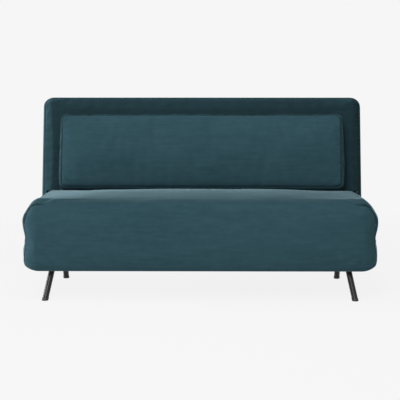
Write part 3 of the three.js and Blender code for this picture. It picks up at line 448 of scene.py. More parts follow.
def turnedOut(piece):
    # All faces look outwards.
    useOnly(piece)
    bpy.ops.object.mode_set(mode="EDIT")
    bpy.ops.mesh.select_all(action="SELECT")
    bpy.ops.mesh.normals_make_consistent(inside=False)
    bpy.ops.object.mode_set(mode="OBJECT")


def newPrimitive(kind, **settings):
    bpy.ops.object.select_all(action="DESELECT")
    getattr(bpy.ops.mesh, "primitive_" + kind + "_add")(**settings)
    piece = bpy.context.object
    bpy.ops.object.transform_apply(location=True, rotation=True, scale=True)
    return piece


def applied(piece, kind, **settings):
    useOnly(piece)
    modifier = piece.modifiers.new(kind.lower(), kind)
    for key, value in settings.items():
        setattr(modifier, key, value)
    bpy.ops.object.modifier_apply(modifier=modifier.name)


def surfaceOf(piece):
    return BVHTree.FromPolygons([v.co for v in piece.data.vertices], [p.vertices for p in piece.data.polygons])


def evenPath(points, closed):
    # The corners are cut off three times, then points are laid along it at even spacing.
    for _ in range(3):
        following = points[1:] + points[:1] if closed else points[1:]
        cut = [p.lerp(q, share) for p, q in zip(points, following) for share in (0.25, 0.75)]
        points = cut if closed else [points[0]] + cut + [points[-1]]
    if closed:
        points = points + points[:1]
    even, travelled = [points[0]], 0
    for p, q in zip(points, points[1:]):
        length = (q - p).length
        while travelled + length >= pathSpacing:
            share = (pathSpacing - travelled) / length
            p = p.lerp(q, share)
            length = (q - p).length
            travelled = 0
            even.append(p)
        travelled += length
    return even


def laidOn(surface, points, direction):
    # Points are moved along a direction until they meet the surface.
    hits = [surface.ray_cast(Vector(p), Vector(direction))[0] for p in points]
    return [hit for hit in hits if hit]


def roundedLoop(halfWidth, low, high, radius, steps=4):
    # (x, z) points round a rectangle with round corners
    points = []
    for x, z, start in ((halfWidth - radius, high - radius, 0), (radius - halfWidth, high - radius, 90),
                        (radius - halfWidth, low + radius, 180), (halfWidth - radius, low + radius, 270)):
        for step in range(steps + 1):
            angle = math.radians(start + 90 * step / steps)
            points.append((x + radius * math.cos(angle), z + radius * math.sin(angle)))
    return points


def subdividedLoop(points, spacing=0.02):
    # Points are added to a closed loop's long runs.
    full = []
    for p, q in zip(points, points[1:] + points[:1]):
        steps = max(1, round(math.dist(p, q) / spacing))
        full += [tuple(a + (b - a) * i / steps for a, b in zip(p, q)) for i in range(steps)]
    return full


def nearest(paths):
    # A search tree over the points of the seams, with the distance of each along its seam
    marks = []
    for number, path in enumerate(paths):
        along = 0
        for i, point in enumerate(path):
            along += (point - path[i - 1]).length if i else 0
            marks.append((point, number, along))
    tree = kdtree.KDTree(len(marks))
    for i, mark in enumerate(marks):
        tree.insert(mark[0], i)
    tree.balance()
    return tree, marks


def rimPaths(cover, form):
    # The closed seams round the front and the rear face
    surface, rim = surfaceOf(cover), form["rim"]
    low, high = form["corners"][0][1], form["corners"][1][1]
    paths = []
    for side, lift in zip((-1, 1), rim["bottoms"]):
        loop = roundedLoop(form["halfWidth"] - rim["side"], low + lift, high - rim["top"], rim["radius"])
        started = [(x, side, z) for x, z in subdividedLoop(loop)]
        paths.append(evenPath(laidOn(surface, started, (0, -side, 0)), True))
    return paths


simulation = {"quality": 6, "mass": 0.3, "shearDivisor": 3, "frames": 20}


def puff(piece, swelling, paths):
    # The cover swells by cloth simulation. Its seams and what rests on wood stay, and no point moves far.
    heldBelow, heldBehind = swelling["held"]
    useOnly(piece)
    pins = piece.vertex_groups.new(name="sewn")
    tree, _ = nearest(paths)
    for vertex in piece.data.vertices:
        place = vertex.co
        if place.z < heldBelow or place.y > heldBehind or tree.find(place)[2] < swelling["seamHold"]:
            pins.add([vertex.index], 1, "REPLACE")
    rest = [vertex.co.copy() for vertex in piece.data.vertices]
    cloth = piece.modifiers.new("cloth", "CLOTH")
    settings = cloth.settings
    settings.quality = simulation["quality"]
    settings.mass = simulation["mass"]
    settings.tension_stiffness = settings.compression_stiffness = swelling["stiffness"]
    settings.shear_stiffness = swelling["stiffness"] / simulation["shearDivisor"]
    settings.bending_stiffness = swelling["bending"]
    settings.use_pressure = True
    settings.uniform_pressure_force = swelling["pressure"]
    settings.shrink_min = -swelling["slack"]
    settings.vertex_group_mass = pins.name
    settings.effector_weights.gravity = 0
    for step in range(simulation["frames"]):
        scene.frame_set(step + 1)
    bpy.ops.object.modifier_apply(modifier=cloth.name)
    scene.frame_set(1)
    for vertex, start in zip(piece.data.vertices, rest):
        moved = vertex.co - start
        if moved.length > swelling["cap"]:
            vertex.co = start + moved * (swelling["cap"] / moved.length)
    piece.vertex_groups.clear()
    print(piece.name, "swollen")


def gather(piece, paths, sewn):
    # The cover sinks in along its seams and lies in small folds beside them, different along each.
    tree, marks = nearest(paths)
    # Shade is painted into each seam's groove, darker where it sinks deepest.
    paintedShade = piece.data.attributes.get("paintedShade") or piece.data.attributes.new("paintedShade", "FLOAT", "POINT")
    normals = [vertex.normal.copy() for vertex in piece.data.vertices]
    for vertex, normal in zip(piece.data.vertices, normals):
        _, found, distance = tree.find(vertex.co)
        if distance > 3 * sewn["foldReach"]:
            continue
        _, number, along = marks[found]
        fade = min(1, along / sewn["fadeLength"]) if "fadeLength" in sewn else 1
        sunk = math.exp(-(distance / sewn["width"]) ** 2)
        paintedShade.data[vertex.index].value = max(paintedShade.data[vertex.index].value, sunk * fade * sewn["paintedDark"])
        wave = noise.noise(Vector((along / sewn["foldPitch"], 7.3 * number, 0)))
        fold = wave * sewn["fold"] * (1 - sunk) * math.exp(-(distance / sewn["foldReach"]) ** 2)
        vertex.co += normal * (fold - sewn["depth"] * sunk) * fade


seamLine = {"thinnest": 0.25, "taper": 8, "raised": 0.25}  # an open line thickens over its first and last points


def makeSeams(name, piece, paths, radius):
    # A thin raised line of cloth along each seam
    curve = bpy.data.curves.new(name, "CURVE")
    curve.dimensions = "3D"
    curve.bevel_depth = radius
    curve.bevel_resolution = 2
    surface = surfaceOf(piece)
    for path in paths:
        spline = curve.splines.new("POLY")
        points = path[::2]
        closed = (path[0] - path[-1]).length < 2 * pathSpacing
        if closed:
            points = points[:-1]
        last = len(points) - 1
        spline.points.add(last)
        spline.use_cyclic_u = closed
        for i, point in enumerate(points):
            place, normal, _, _ = surface.find_nearest(point)
            spline.points[i].co = (*(place + normal * radius * seamLine["raised"]), 1)
            ends = seamLine["thinnest"] + min(i, last - i) / seamLine["taper"]
            spline.points[i].radius = 1 if closed else min(1, ends)
    seams = bpy.data.objects.new(name, curve)
    scene.collection.objects.link(seams)
    useOnly(seams)
    bpy.ops.object.convert(target="MESH")
    seams = bpy.context.object
    bpy.ops.object.shade_smooth()
    return seams


def takenOut(piece, cutter):
    applied(piece, "BOOLEAN", object=cutter, operation="DIFFERENCE", solver="EXACT")
    bpy.data.objects.remove(cutter)


def cutAway(piece, boxes):
    # Rooms are taken out of a piece, each given by its lowest and highest corner.
    for low, high in boxes:
        low, high = Vector(low), Vector(high)
        bpy.ops.object.select_all(action="DESELECT")
        bpy.ops.mesh.primitive_cube_add(size=1, location=(low + high) / 2)
        cutter = bpy.context.object
        cutter.scale = high - low
        bpy.ops.object.transform_apply(location=True, rotation=False, scale=True)
        takenOut(piece, cutter)


def coreOf(form, depth):
    # The same form under its cover, with fewer faces
    return {**form, "room": form["room"] + depth, "cornerSteps": 6, "runSteps": [8, 6, 8, 6], "capSpan": 8,
            "endSteps": 6, "spanShares": spanShares(16)}


def grown(boxes, margin):
    return [([v - margin for v in low], [v + margin for v in high]) for low, high in boxes]


def hollowed(cover, form, slots):
    # The cover is left as a skin round its filling and turned in at the slots. Rooms are open to the filling.
    lining, play = 0.004, 0.0006
    inside = makePadded("inside", coreOf(form, form["wall"]))
    cutAway(inside, grown(slots, lining))
    takenOut(cover, inside)
    cutAway(cover, form["rooms"] + slots)
    filling = makePadded(form["core"]["name"], coreOf(form, form["wall"] + play))
    cutAway(filling, grown(form["rooms"], play / 2) + grown(slots, lining + play))
    settled(filling)
    return filling


def uneven(piece, lumps, reaches):
    # Low soft lumps, as padding has under cloth
    normals = [vertex.normal.copy() for vertex in piece.data.vertices]
    for vertex, normal in zip(piece.data.vertices, normals):
        height = sum(noise.noise(vertex.co / pitch + Vector((0, 0, 9.1 * i))) * size
                     for i, (pitch, size) in enumerate(lumps))
        vertex.co += normal * height * reaches(vertex.co)


def paintedFacingLight(piece, direction, evenly):
    # Painted light and shade: faces turned one way are painted lighter and faces turned from it darker, as lamps
    # from the left and above light them. Evenly means that both ends look alike.
    direction = Vector(direction)
    nap = piece.data.attributes.new("nap", "FLOAT", "POINT")
    normals = [vertex.normal for vertex in piece.data.vertices]
    turned = [Vector((abs(n.x) if evenly else n.x, n.y, n.z)) for n in normals]
    nap.data.foreach_set("value", [normal.dot(direction) for normal in turned])


def shadeBelow(piece, shade):
    # Painted shade, in the same attribute as the seams' shade, grows from one height down to another.
    paintedShade = piece.data.attributes["paintedShade"]
    for vertex in piece.data.vertices:
        share = (shade["from"] - vertex.co.z) / (shade["from"] - shade["to"])
        share = min(1, max(0, share)) ** shade["lateness"] * shade["most"]
        paintedShade.data[vertex.index].value = max(paintedShade.data[vertex.index].value, share)


def mirroredBox(box):
    low, high = box
    return ((-high[0], *low[1:]), (-low[0], *high[1:]))


def onBothSides(paths):
    return paths + [[Vector((-p.x, p.y, p.z)) for p in path] for path in paths]


def settled(piece, angle=50):
    useOnly(piece)
    bpy.ops.object.shade_smooth_by_angle(angle=math.radians(angle))


def belongs(piece, body, slot, nodes=(), finish=None):
    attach(piece, body)
    if nodes:
        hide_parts(*nodes)
    piece.data.materials.clear()
    piece.data.materials.append(finishes[finish or slot])


def upholster(cover, form, gathered, drawn, reaches):
    # The cover swells, is gathered along its seams and hollowed out for its filling. Each group of seams comes with
    # how it is sewn, and along the drawn ones a line of cloth is raised.
    puff(cover, form["swelling"], [path for paths, _ in gathered for path in paths])
    applied(cover, "SUBSURF", levels=1, render_levels=1)
    uneven(cover, form["lumps"], reaches)
    for paths, sewn in gathered:
        gather(cover, paths, sewn)
    # Painted shade towards the bottom, and painted light and shade by which way each face is turned
    if "shade" in form:
        shadeBelow(cover, form["shade"])
    paintedFacingLight(cover, form["nap"], form.get("evenPaintedLight"))
    settled(cover)
    seams = makeSeams(form["seamsName"], cover, drawn, form["seamRadius"])
    slots = [box for slot in form.get("slots", ()) for box in (slot, mirroredBox(slot))]
    filling = hollowed(cover, form, slots)
    if form.get("slotsCutSeams"):
        cutAway(seams, slots)
    if form["body"] != "seat":
        for piece in (cover, seams, filling):
            piece.data.transform(slabToSofa)
    core = form["core"]
    belongs(cover, form["body"], "velvet", [form["node"]], form["finish"])
    belongs(filling, form["body"], core["slot"], [core["node"]])
    belongs(seams, form["body"], "velvet", finish="velvetSeamPaintedDark")


# ---- seat

seat = {
    "body": "seat",
    "node": "seat_cover",
    "fill": 0.9,
    "finish": "velvet",
    "seamsName": "seatSeams",
    "core": {"name": "seatFoam", "node": "seat_foam", "slot": "foam", "fill": 1},
    "corners": [(-0.434, 0.118), (-0.434, 0.411), (0.174, 0.393), (0.174, 0.122)],
    "radii": [0.042, 0.07, 0.05, 0.026],
    "depthShare": 1,
    "insetShares": (0.75, 1.35, 1.35, 0.75),
    "crowns": [0.008, 0.02, 0.001, 0],
    "endCrown": (0.05, 3),
    "cornerSteps": 20,
    "runSteps": [16, 34, 12, 14],
    "halfWidth": 0.706,
    "endRadius": 0.056,
    "endSteps": 18,
    "capInsets": [0.12, 0.1, 0.08, 0.066],
    "capSpan": 26,
    "spanShares": spanShares(64),
    "room": 0.002,
    "bottom": 0.122,
    "top": 0.411,
    "lobes": [(0.68, 0.26, 0.011), (0.16, 0.36, 0.013)],  # place, reach and height of each side's bulges
    "swelling": {"cap": 0.004, "pressure": 4, "stiffness": 22, "bending": 1.5, "slack": 0.006, "seamHold": 0.004,
                 "held": (0.14, 0.168)},  # it rests below the first height and behind the second depth
    "tuck": [(-0.4 + 0.02 * i, 0.256) for i in range(28)],
    "edge": [(-0.402, 0.30 - 0.02 * i) for i in range(8)],
    # which way faces are painted lighter, as lit from the left (painted light)
    "nap": (-0.45, 0, 0),
    "sideSeam": {"depth": 0.0015, "width": 0.005, "fold": 0.001, "foldPitch": 0.016, "foldReach": 0.016,
                 "paintedDark": 0.5},
    "dart": [(0.62, 0.3945), (0.645, 0.394), (0.667, 0.3885), (0.683, 0.377), (0.695, 0.358),
             (0.7025, 0.336), (0.7065, 0.316)],
    "dartSeam": {"depth": 0.007, "width": 0.006, "fold": 0.0045, "foldPitch": 0.012, "foldReach": 0.014,
                 "fadeLength": 0.04, "paintedDark": 0.95},
    "lip": Vector((-0.005, -0.0016, -0.0025)),  # from the dart to the raised edge of its fold
    "wall": 0.015,
    "lumps": [(0.3, 0.002), (0.09, 0.0009)],  # spacing and height
    "lumpsRise": 0.05,
    "rooms": [((-0.6683, -0.4023, 0.1), (0.6683, 0.1623, 0.2755))],
    "slots": [((0.6633, 0.06, 0.1), (0.6875, 0.2, 0.318))],
    "seamRadius": 0.0013,
}


def seatSideSwell(z):
    share = (z - seat["bottom"]) / (seat["top"] - seat["bottom"])
    swell = 0
    for place, reach, height in seat["lobes"]:
        away = min(abs(share - place) / reach, 1)
        swell += height * math.cos(away * math.pi / 2) ** 2
    return swell


def makeSeat():
    form = {**seat, "sideSwell": seatSideSwell}
    block = makePadded("seatUpholstery", form)
    surface = surfaceOf(block)
    darts = evenPath(laidOn(surface, [(x, -1, z) for x, z in seat["dart"]], (0, 1, 0)), False)
    tucks, edges = (laidOn(surface, [(1, y, z) for y, z in seat[key]], (-1, 0, 0)) for key in ("tuck", "edge"))
    lips = onBothSides([[point + seat["lip"] for point in darts]])
    flanks = onBothSides([evenPath(tucks, False), evenPath(darts[-1:] + edges, False)])
    upholster(block, form, [(onBothSides([darts]), seat["dartSeam"]), (flanks, seat["sideSeam"])], lips + flanks,
              lambda place: min(1, max(0, place.z - seat["bottom"]) / seat["lumpsRise"]))


makeSeat()
print("seat made")

# ---- backrest

back = {
    "body": "backrest",
    "node": "back_cover",
    "fill": 0.9,
    # painted shade: the backrest gets the darker copy of the velvet
    "finish": "velvetShaded",
    "seamsName": "backSeams",
    "core": {"name": "backFoam", "node": "back_foam", "slot": "foam", "fill": 1},
    "corners": [(-0.062, -0.07936), (-0.062, 0.4725), (0.062, 0.4725), (0.062, -0.07936)],
    "radii": [0.04, 0.04, 0.04, 0.04],
    "depthShare": 0.6,
    "crowns": [0.006, 0.004, 0, 0],
    "endCrown": (1 / 3, 2),
    "cornerSteps": 14,
    "runSteps": [34, 6, 20, 6],
    "halfWidth": 0.7115,
    "endRadius": 0.046,
    "endSteps": 12,
    "capInsets": [0.064, 0.056, 0.05],
    "capSpan": 44,
    "spanShares": spanShares(64),
    "room": 0.0015,
    "swelling": {"cap": 0.003, "pressure": 4, "stiffness": 22, "bending": 1.5, "slack": 0.004, "seamHold": 0.004,
                 "held": (-0.08, -0.045)},
    "rim": {"side": 0.011, "top": 0.011, "bottoms": (0.011, 0.011), "radius": 0.03},
    # which way faces are painted lighter, as lit from the left and above (painted light)
    "nap": (-1.15, 0, 0.9),
    "seam": {"depth": 0.0012, "width": 0.004, "fold": 0.0004, "foldPitch": 0.018, "foldReach": 0.013,
             "paintedDark": 0.15},
    "wall": 0.007,
    "lumps": [(0.3, 0.001)],
    "lumpsFrom": -0.04,
    "lumpsRise": 0.015,
    "rooms": [((-0.6643, 0.0133, -0.04), (0.6643, 0.0575, 0.4293)),
              ((-0.64, 0.05, -0.02436), (0.64, 0.08, 0.396))],  # for the frame, and the rear panel's opening
    "slots": [((0.6637, -0.08, -0.1), (0.6875, 0.08, 0.0437))],
    "slotsCutSeams": True,
    "seamRadius": 0.0012,
}


def makeBack():
    slab = makePadded("backUpholstery", back)
    rims = rimPaths(slab, back)
    upholster(slab, back, [(rims, back["seam"])], rims,
              lambda place: min(1, max(0, back["lumpsFrom"] - place.y) / back["lumpsRise"]))


makeBack()
print("backrest made")

# ---- lumbar cushion

cushion = {
    "body": "cushion",
    "node": "cushion_cover",
    "fill": 0.8,
    "finish": "velvetCushion",
    "seamsName": "cushionSeams",
    "core": {"name": "cushionFilling", "node": "cushion_filling", "slot": "filling", "fill": 0.8},
    "corners": [(-0.1603, 0.0267), (-0.1603, 0.37), (-0.0703, 0.37), (-0.0703, 0.0267)],
    "radii": [0.04, 0.011, 0.011, 0.014],
    "depthShare": 0.5,
    "crowns": [0.022, 0.003, 0.001, -0.001],
    "endCrown": (0.12, 9),
    "cornerSteps": 9,
    "runSteps": [40, 8, 24, 6],
    "halfWidth": 0.6205,
    "endRadius": 0.02,
    "endSteps": 8,
    "capInsets": [0.03, 0.024],
    "capSpan": 44,
    "spanShares": spanShares(84, 0.6),
    "room": 0.003,
    "swelling": {"cap": 0.009, "pressure": 4, "stiffness": 16, "bending": 1, "slack": 0.005, "seamHold": 0.004,
                 "held": (0.03, -0.075)},
    # which way faces are painted lighter, as lit from the left and above (painted light), alike at both ends
    "nap": (-0.75, 0, 0.8),
    "evenPaintedLight": True,
    "rim": {"side": 0.0075, "top": 0.0055, "bottoms": (0.02, 0.0055), "radius": 0.022},
    "wall": 0.009,
    "lumps": [(0.16, 0.0022), (0.05, 0.001)],
    "lumpsFrom": -0.08,
    "rooms": [],
    "seam": {"depth": 0.003, "width": 0.0035, "fold": 0.0012, "foldPitch": 0.017, "foldReach": 0.014,
             "paintedDark": 0.6},
    "seamRadius": 0.001,
    "shade": {"from": 0.078, "to": 0.03, "most": 0.9, "lateness": 1.6},  # painted shade, darker low down where the cushion rests on the seat
    "flare": 0.005,  # how much wider the cushion stands at its bottom than at its top
}


def cushionFlare(z):
    return cushion["flare"] * (1 - z / cushion["corners"][1][1])


def makeCushion():
    form = {**cushion, "sideSwell": cushionFlare}
    pad = makePadded("cushionCover", form)
    rims = rimPaths(pad, form)
    upholster(pad, form, [(rims, cushion["seam"])], rims, lambda place: place.y < cushion["lumpsFrom"])


makeCushion()
print("cushion made")

# ---- legs

sides = ((-1, "Left"), (1, "Right"))
legs = {
    "front": {"top": (0.5997, -0.3488), "foot": (0.626, -0.392)},
    "rear": {"top": (0.5997, 0.11), "foot": (0.5997, 0.184)},
    "radius": 0.0121,
    "overrun": (0.004, 0.01),  # how far the tube is drawn past its top and its foot before it is trimmed
    "bottom": 0.0085,
    "plate": {"top": 0.1277, "side": 0.074, "thick": 0.003, "corner": 0.008, "edge": 0.0006},
    "weld": {"lumps": 26, "outside": 0.0012, "radius": 0.0042, "sides": 10, "rings": 6, "flat": 0.62,
             "unevenness": 0.15, "grain": 300},
    "boltSpacing": 0.024,
    "washer": {"sides": 28, "radius": 0.0078, "height": 0.0011, "below": 0.0004, "edge": 0.0003},
    "boltHead": {"sides": 6, "radius": 0.0058, "height": 0.0026, "below": 0.0019, "edge": 0.0005},
    "cap": {"radius": 0.0131, "height": 0.0125, "round": 0.0024, "overrun": (0.02, 0.03)},
}


def rodAlong(start, end, radius, sides=36):
    # A cylinder between two points
    start, end = Vector(start), Vector(end)
    way = end - start
    return newPrimitive("cylinder", vertices=sides, radius=radius, depth=way.length, location=(start + end) / 2,
                        rotation=way.to_track_quat("Z", "Y").to_euler())


def softened(piece, width, segments=3, angle=30):
    applied(piece, "BEVEL", width=width, segments=segments, limit_method="ANGLE", angle_limit=math.radians(angle))
    return piece


def trimmed(piece, low, high):
    # What lies below low or above high is cut off level and closed.
    useOnly(piece)
    bpy.ops.object.mode_set(mode="EDIT")
    for height, below in ((low, True), (high, False)):
        bpy.ops.mesh.select_all(action="SELECT")
        bpy.ops.mesh.bisect(plane_co=(0, 0, height), plane_no=(0, 0, 1), use_fill=True,
                            clear_inner=below, clear_outer=not below)
    bpy.ops.object.mode_set(mode="OBJECT")
    return piece


def joinedAs(name, pieces):
    bpy.ops.object.select_all(action="DESELECT")
    for piece in pieces:
        piece.select_set(True)
    bpy.context.view_layer.objects.active = pieces[0]
    bpy.ops.object.join()
    whole = bpy.context.object
    whole.name = whole.data.name = name
    settled(whole, 35)
    return whole


def roundedPlate(low, high, corner, edge):
    # A flat plate with its upright corners rounded and its edges softened
    low, high = Vector(low), Vector(high)
    size = high - low
    plate = newPrimitive("cube", size=1, location=(low + high) / 2, scale=size)
    bpy.ops.object.mode_set(mode="EDIT")
    bpy.ops.mesh.select_mode(type="EDGE")
    bpy.ops.mesh.select_all(action="DESELECT")
    mesh = bmesh.from_edit_mesh(plate.data)
    thin = min(range(3), key=lambda axis: size[axis])
    for line in mesh.edges:
        way = line.verts[1].co - line.verts[0].co
        line.select_set(max(range(3), key=lambda axis: abs(way[axis])) == thin)
    bpy.ops.mesh.bevel(offset=corner, segments=6)
    bpy.ops.mesh.select_mode(type="VERT")
    bpy.ops.object.mode_set(mode="OBJECT")
    return softened(plate, edge, 2, 60)


def weldLump(spot):
    weld = legs["weld"]
    size = weld["radius"] * (1 - weld["unevenness"] + weld["unevenness"] * noise.noise(spot * weld["grain"]))
    return newPrimitive("uv_sphere", segments=weld["sides"], ring_count=weld["rings"], radius=size, location=spot,
                        scale=(1, 1, weld["flat"]))


def disc(spot, shape):
    # A washer or a bolt head under a leg's plate
    made = newPrimitive("cylinder", vertices=shape["sides"], radius=shape["radius"], depth=shape["height"],
                        location=spot - Vector((0, 0, shape["below"])))
    return softened(made, shape["edge"], 2)


def makeLeg(end, side, sideName):
    (topX, topY), (footX, footY) = legs[end]["top"], legs[end]["foot"]
    plate, weld, cap = legs["plate"], legs["weld"], legs["cap"]
    under, half = plate["top"] - plate["thick"], plate["side"] / 2
    top, foot = Vector((side * topX, topY, under)), Vector((side * footX, footY, 0))
    way = (foot - top).normalized()
    above, below = legs["overrun"]
    parts = [
        roundedPlate((top.x - half, top.y - half, under), (top.x + half, top.y + half, plate["top"]),
                     plate["corner"], plate["edge"]),
        trimmed(rodAlong(top - way * above, foot + way * below, legs["radius"]), legs["bottom"],
                plate["top"] - plate["thick"] / 2),
    ]
    for step in range(weld["lumps"]):
        angle = step / weld["lumps"] * 2 * math.pi
        outwards = Vector((math.cos(angle), math.sin(angle), 0))
        parts.append(weldLump(top + outwards * (legs["radius"] + weld["outside"])))
    for i in (-1, 1):
        for j in (-1, 1):
            spot = top + Vector((i, j, 0)) * legs["boltSpacing"]
            parts += [disc(spot, legs["washer"]), disc(spot, legs["boltHead"])]
    node = "%s_%s" % (end, sideName.lower())
    belongs(joinedAs(end + "Leg" + sideName, parts), "seat", "black_steel", ["leg_" + node])
    above, below = cap["overrun"]
    cup = trimmed(rodAlong(foot + way * above, foot - way * below, cap["radius"]), 0, cap["height"])
    cup = joinedAs(end + "Foot" + sideName, [softened(cup, cap["round"], 4)])
    belongs(cup, "seat", "black_plastic", ["foot_cap_" + node])


for legEnd in ("front", "rear"):
    for legSide, legSideName in sides:
        makeLeg(legEnd, legSide, legSideName)
print("legs made")

# ---- folding stand, modelled in the slab's frame

stand = {
    "x": 0.56,
    "panelY": 0.0614,
    "gap": 0.0003,  # between the stand's fittings and what they touch
    "edge": 0.0005,  # softened edges of bent plate
    "pinZ": 0.368,
    "pinOffset": 0.017,
    "tube": 0.01,
    "tubeEdge": 0.0008,
    "tubeFloor": 0.0033,  # the tube ends this far above the floor of its cap
    "endPastPin": 0.009,
    "reach": 0.25256,
    "crossbarRise": 0.046,
    "cap": {"radius": 0.0118, "height": 0.012, "round": 0.002},
    "bracket": {"height": 0.052, "thick": 0.0025, "earReach": 0.011, "earPastPin": 0.009, "earTip": 0.014,
                "corner": 0.002, "baseEdge": 0.0004},
    "pin": {"radius": 0.0035, "head": 0.007, "headHeight": 0.003, "headRound": 0.0012},
    "screw": {"radius": 0.004, "height": 0.002, "inset": 0.007, "sunk": 0.0004, "round": 0.0009,
              "cross": (0.6, 0.0006, 0.45)},  # share of the radius, half width, and where in the height it begins
    "clip": {"width": 0.03, "half": 0.027, "thick": 0.0025, "prong": 0.003, "slack": 0.0006, "lip": 0.004,
             "chamfer": (0.0015, 0.001),
             "hold": [(-0.004, 0), (0.001, 0.0004), (0.003, 0.0002)]},  # depth past the bar's middle, and rise
}


def outlinedPlate(points, xLow, xHigh):
    # A plate cut to (y, z) points and lying across x
    bpy.ops.object.select_all(action="DESELECT")
    bpy.ops.mesh.primitive_circle_add(vertices=len(points), fill_type="NGON")
    piece = bpy.context.object
    for vertex, (y, z) in zip(piece.data.vertices, points):
        vertex.co = (xLow, y, z)
    bpy.ops.object.mode_set(mode="EDIT")
    bpy.ops.mesh.select_all(action="SELECT")
    bpy.ops.mesh.extrude_region_move(TRANSFORM_OT_translate={"value": (xHigh - xLow, 0, 0)})
    bpy.ops.object.mode_set(mode="OBJECT")
    turnedOut(piece)
    return softened(piece, stand["edge"], 2)


def panHeads(x, middleZ, spread, faceY):
    # Two screw heads with a crossed slot, above and below the middle
    made, screw = [], stand["screw"]
    share, narrow, begins = screw["cross"]
    wide = screw["radius"] * share
    for end in (-1, 1):
        z = middleZ + end * (spread - screw["inset"])
        head = rodAlong((x, faceY - screw["sunk"], z), (x, faceY + screw["height"], z), screw["radius"], 24)
        softened(head, screw["round"], 3)
        for width, height in ((wide, narrow), (narrow, wide)):
            cutAway(head, [((x - width, faceY + screw["height"] * begins, z - height),
                            (x + width, faceY + screw["height"] * 2, z + height))])
        made.append(head)
    return made


def makeStandBracket(x, name, pinY):
    bracket, pin, pinZ = stand["bracket"], stand["pin"], stand["pinZ"]
    outer = bracket["earReach"] + bracket["thick"]
    low = stand["panelY"] + stand["gap"]
    high = low + bracket["thick"]
    bottom, top = pinZ - bracket["height"] / 2, pinZ + bracket["height"] / 2
    base = roundedPlate((x - outer, low, bottom), (x + outer, high, top), bracket["corner"], bracket["baseEdge"])
    tipY, half = pinY + bracket["earPastPin"], bracket["earTip"] / 2
    tip = [(tipY - half * (1 - math.cos(angle)), pinZ + half * math.sin(angle))
           for angle in (math.radians(turn) for turn in range(-75, 76, 15))]
    ear = [(low, bottom), (high + half, bottom), *tip, (high + half, top), (low, top)]
    ears = [outlinedPlate(ear, x + start, x + start + bracket["thick"]) for start in (bracket["earReach"], -outer)]
    shaft = rodAlong((x - outer, pinY, pinZ), (x + outer, pinY, pinZ), pin["radius"], 24)
    heads = [rodAlong((x + end * (outer - stand["gap"]), pinY, pinZ),
                      (x + end * (outer + pin["headHeight"]), pinY, pinZ), pin["head"], 28) for end in (-1, 1)]
    for head in heads:
        softened(head, pin["headRound"], 3)
    screws = panHeads(x, pinZ, bracket["height"] / 2, high)
    return joinedAs("standBracket" + name, [base, *ears, shaft, *heads, *screws])


def makeStandClip(pinY, barZ):
    clip = stand["clip"]
    low = stand["panelY"] + stand["gap"]
    high = low + clip["thick"]
    inner = stand["tube"] + clip["slack"]
    outer = inner + clip["prong"]
    lip, (chamferY, chamferZ) = pinY + clip["lip"], clip["chamfer"]
    hold = [(pinY + past, rise - inner) for past, rise in clip["hold"]]
    half = [(low, -clip["half"]), (high, -clip["half"]), (high, -outer), (lip - chamferY, -outer),
            (lip, chamferZ - outer), (lip, -inner), *hold[::-1], (high, -inner)]
    profile = half + [(y, -z) for y, z in half[::-1]]
    body = outlinedPlate([(y, z + barZ) for y, z in profile], -clip["width"] / 2, clip["width"] / 2)
    return joinedAs("standClip", [body, *panHeads(0, barZ, clip["half"], high)])


def makeStand():
    pinY, pinZ, cap = stand["panelY"] + stand["pinOffset"], stand["pinZ"], stand["cap"]
    footZ = pinZ - stand["reach"]
    made = []
    for side, sideName in sides:
        x, node = side * stand["x"], sideName.lower()
        tube = rodAlong((x, pinY, footZ + stand["tubeFloor"]), (x, pinY, pinZ + stand["endPastPin"]), stand["tube"])
        tube = joinedAs("standLeg" + sideName, [softened(tube, stand["tubeEdge"], 2)])
        cup = rodAlong((x, pinY, footZ), (x, pinY, footZ + cap["height"]), cap["radius"])
        cup = joinedAs("standCap" + sideName, [softened(cup, cap["round"], 4)])
        made += [(tube, "stand", "black_steel", "stand_leg_" + node),
                 (cup, "stand", "black_plastic", "stand_cap_" + node),
                 (makeStandBracket(x, sideName, pinY), "backrest", "black_steel", "stand_bracket_" + node)]
    barZ = footZ + stand["crossbarRise"]
    reach = stand["x"] - stand["tube"] - stand["gap"]
    bar = joinedAs("standCrossbar", [rodAlong((-reach, pinY, barZ), (reach, pinY, barZ), stand["tube"])])
    made += [(bar, "stand", "black_steel", "stand_crossbar"),
             (makeStandClip(pinY, barZ), "backrest", "black_plastic", "stand_clip")]
    for piece, body, slot, node in made:
        piece.data.transform(slabToSofa)
        belongs(piece, body, slot, [node])


makeStand()
print("folding stand made")

# ---- flat pieces: dust cover, cloth behind the back foam, felt on the springs, faced rear panel

dustCover = {
    "low": (-0.668, -0.402, 0.1265),
    "high": (0.668, 0.162, 0.1277),
    "wave": 0.00044,
    "cells": (96, 44),
    "opening": 0.162,  # cut out of each corner for the legs' plates
    "openingHeights": (0.12, 0.135),
    "openingPast": 0.003,
    "staple": {"length": 0.011, "thick": 0.0009, "spacing": 0.075, "inset": 0.008, "below": 0.0006, "turn": 0.25,
               "grain": 90, "firstAt": 0.3},  # how far each is turned by chance, and where the row starts
}
backPanel = {"low": (-0.639, 0.0574, -0.0233), "high": (0.639, 0.0614, 0.395), "wave": 0.0005, "cells": (110, 40)}
hiddenCloth = {"wave": 0.00015, "cells": (96, 40)}
waves = {"pitches": ((0.16, 1), (0.05, 0.5)), "fade": 0.05}  # each pitch has its share, and fade is at the edges
flatEdge = {"thinner": 0.0002, "softShare": 0.3}  # a flat piece is this much thinner than its place, with soft edges


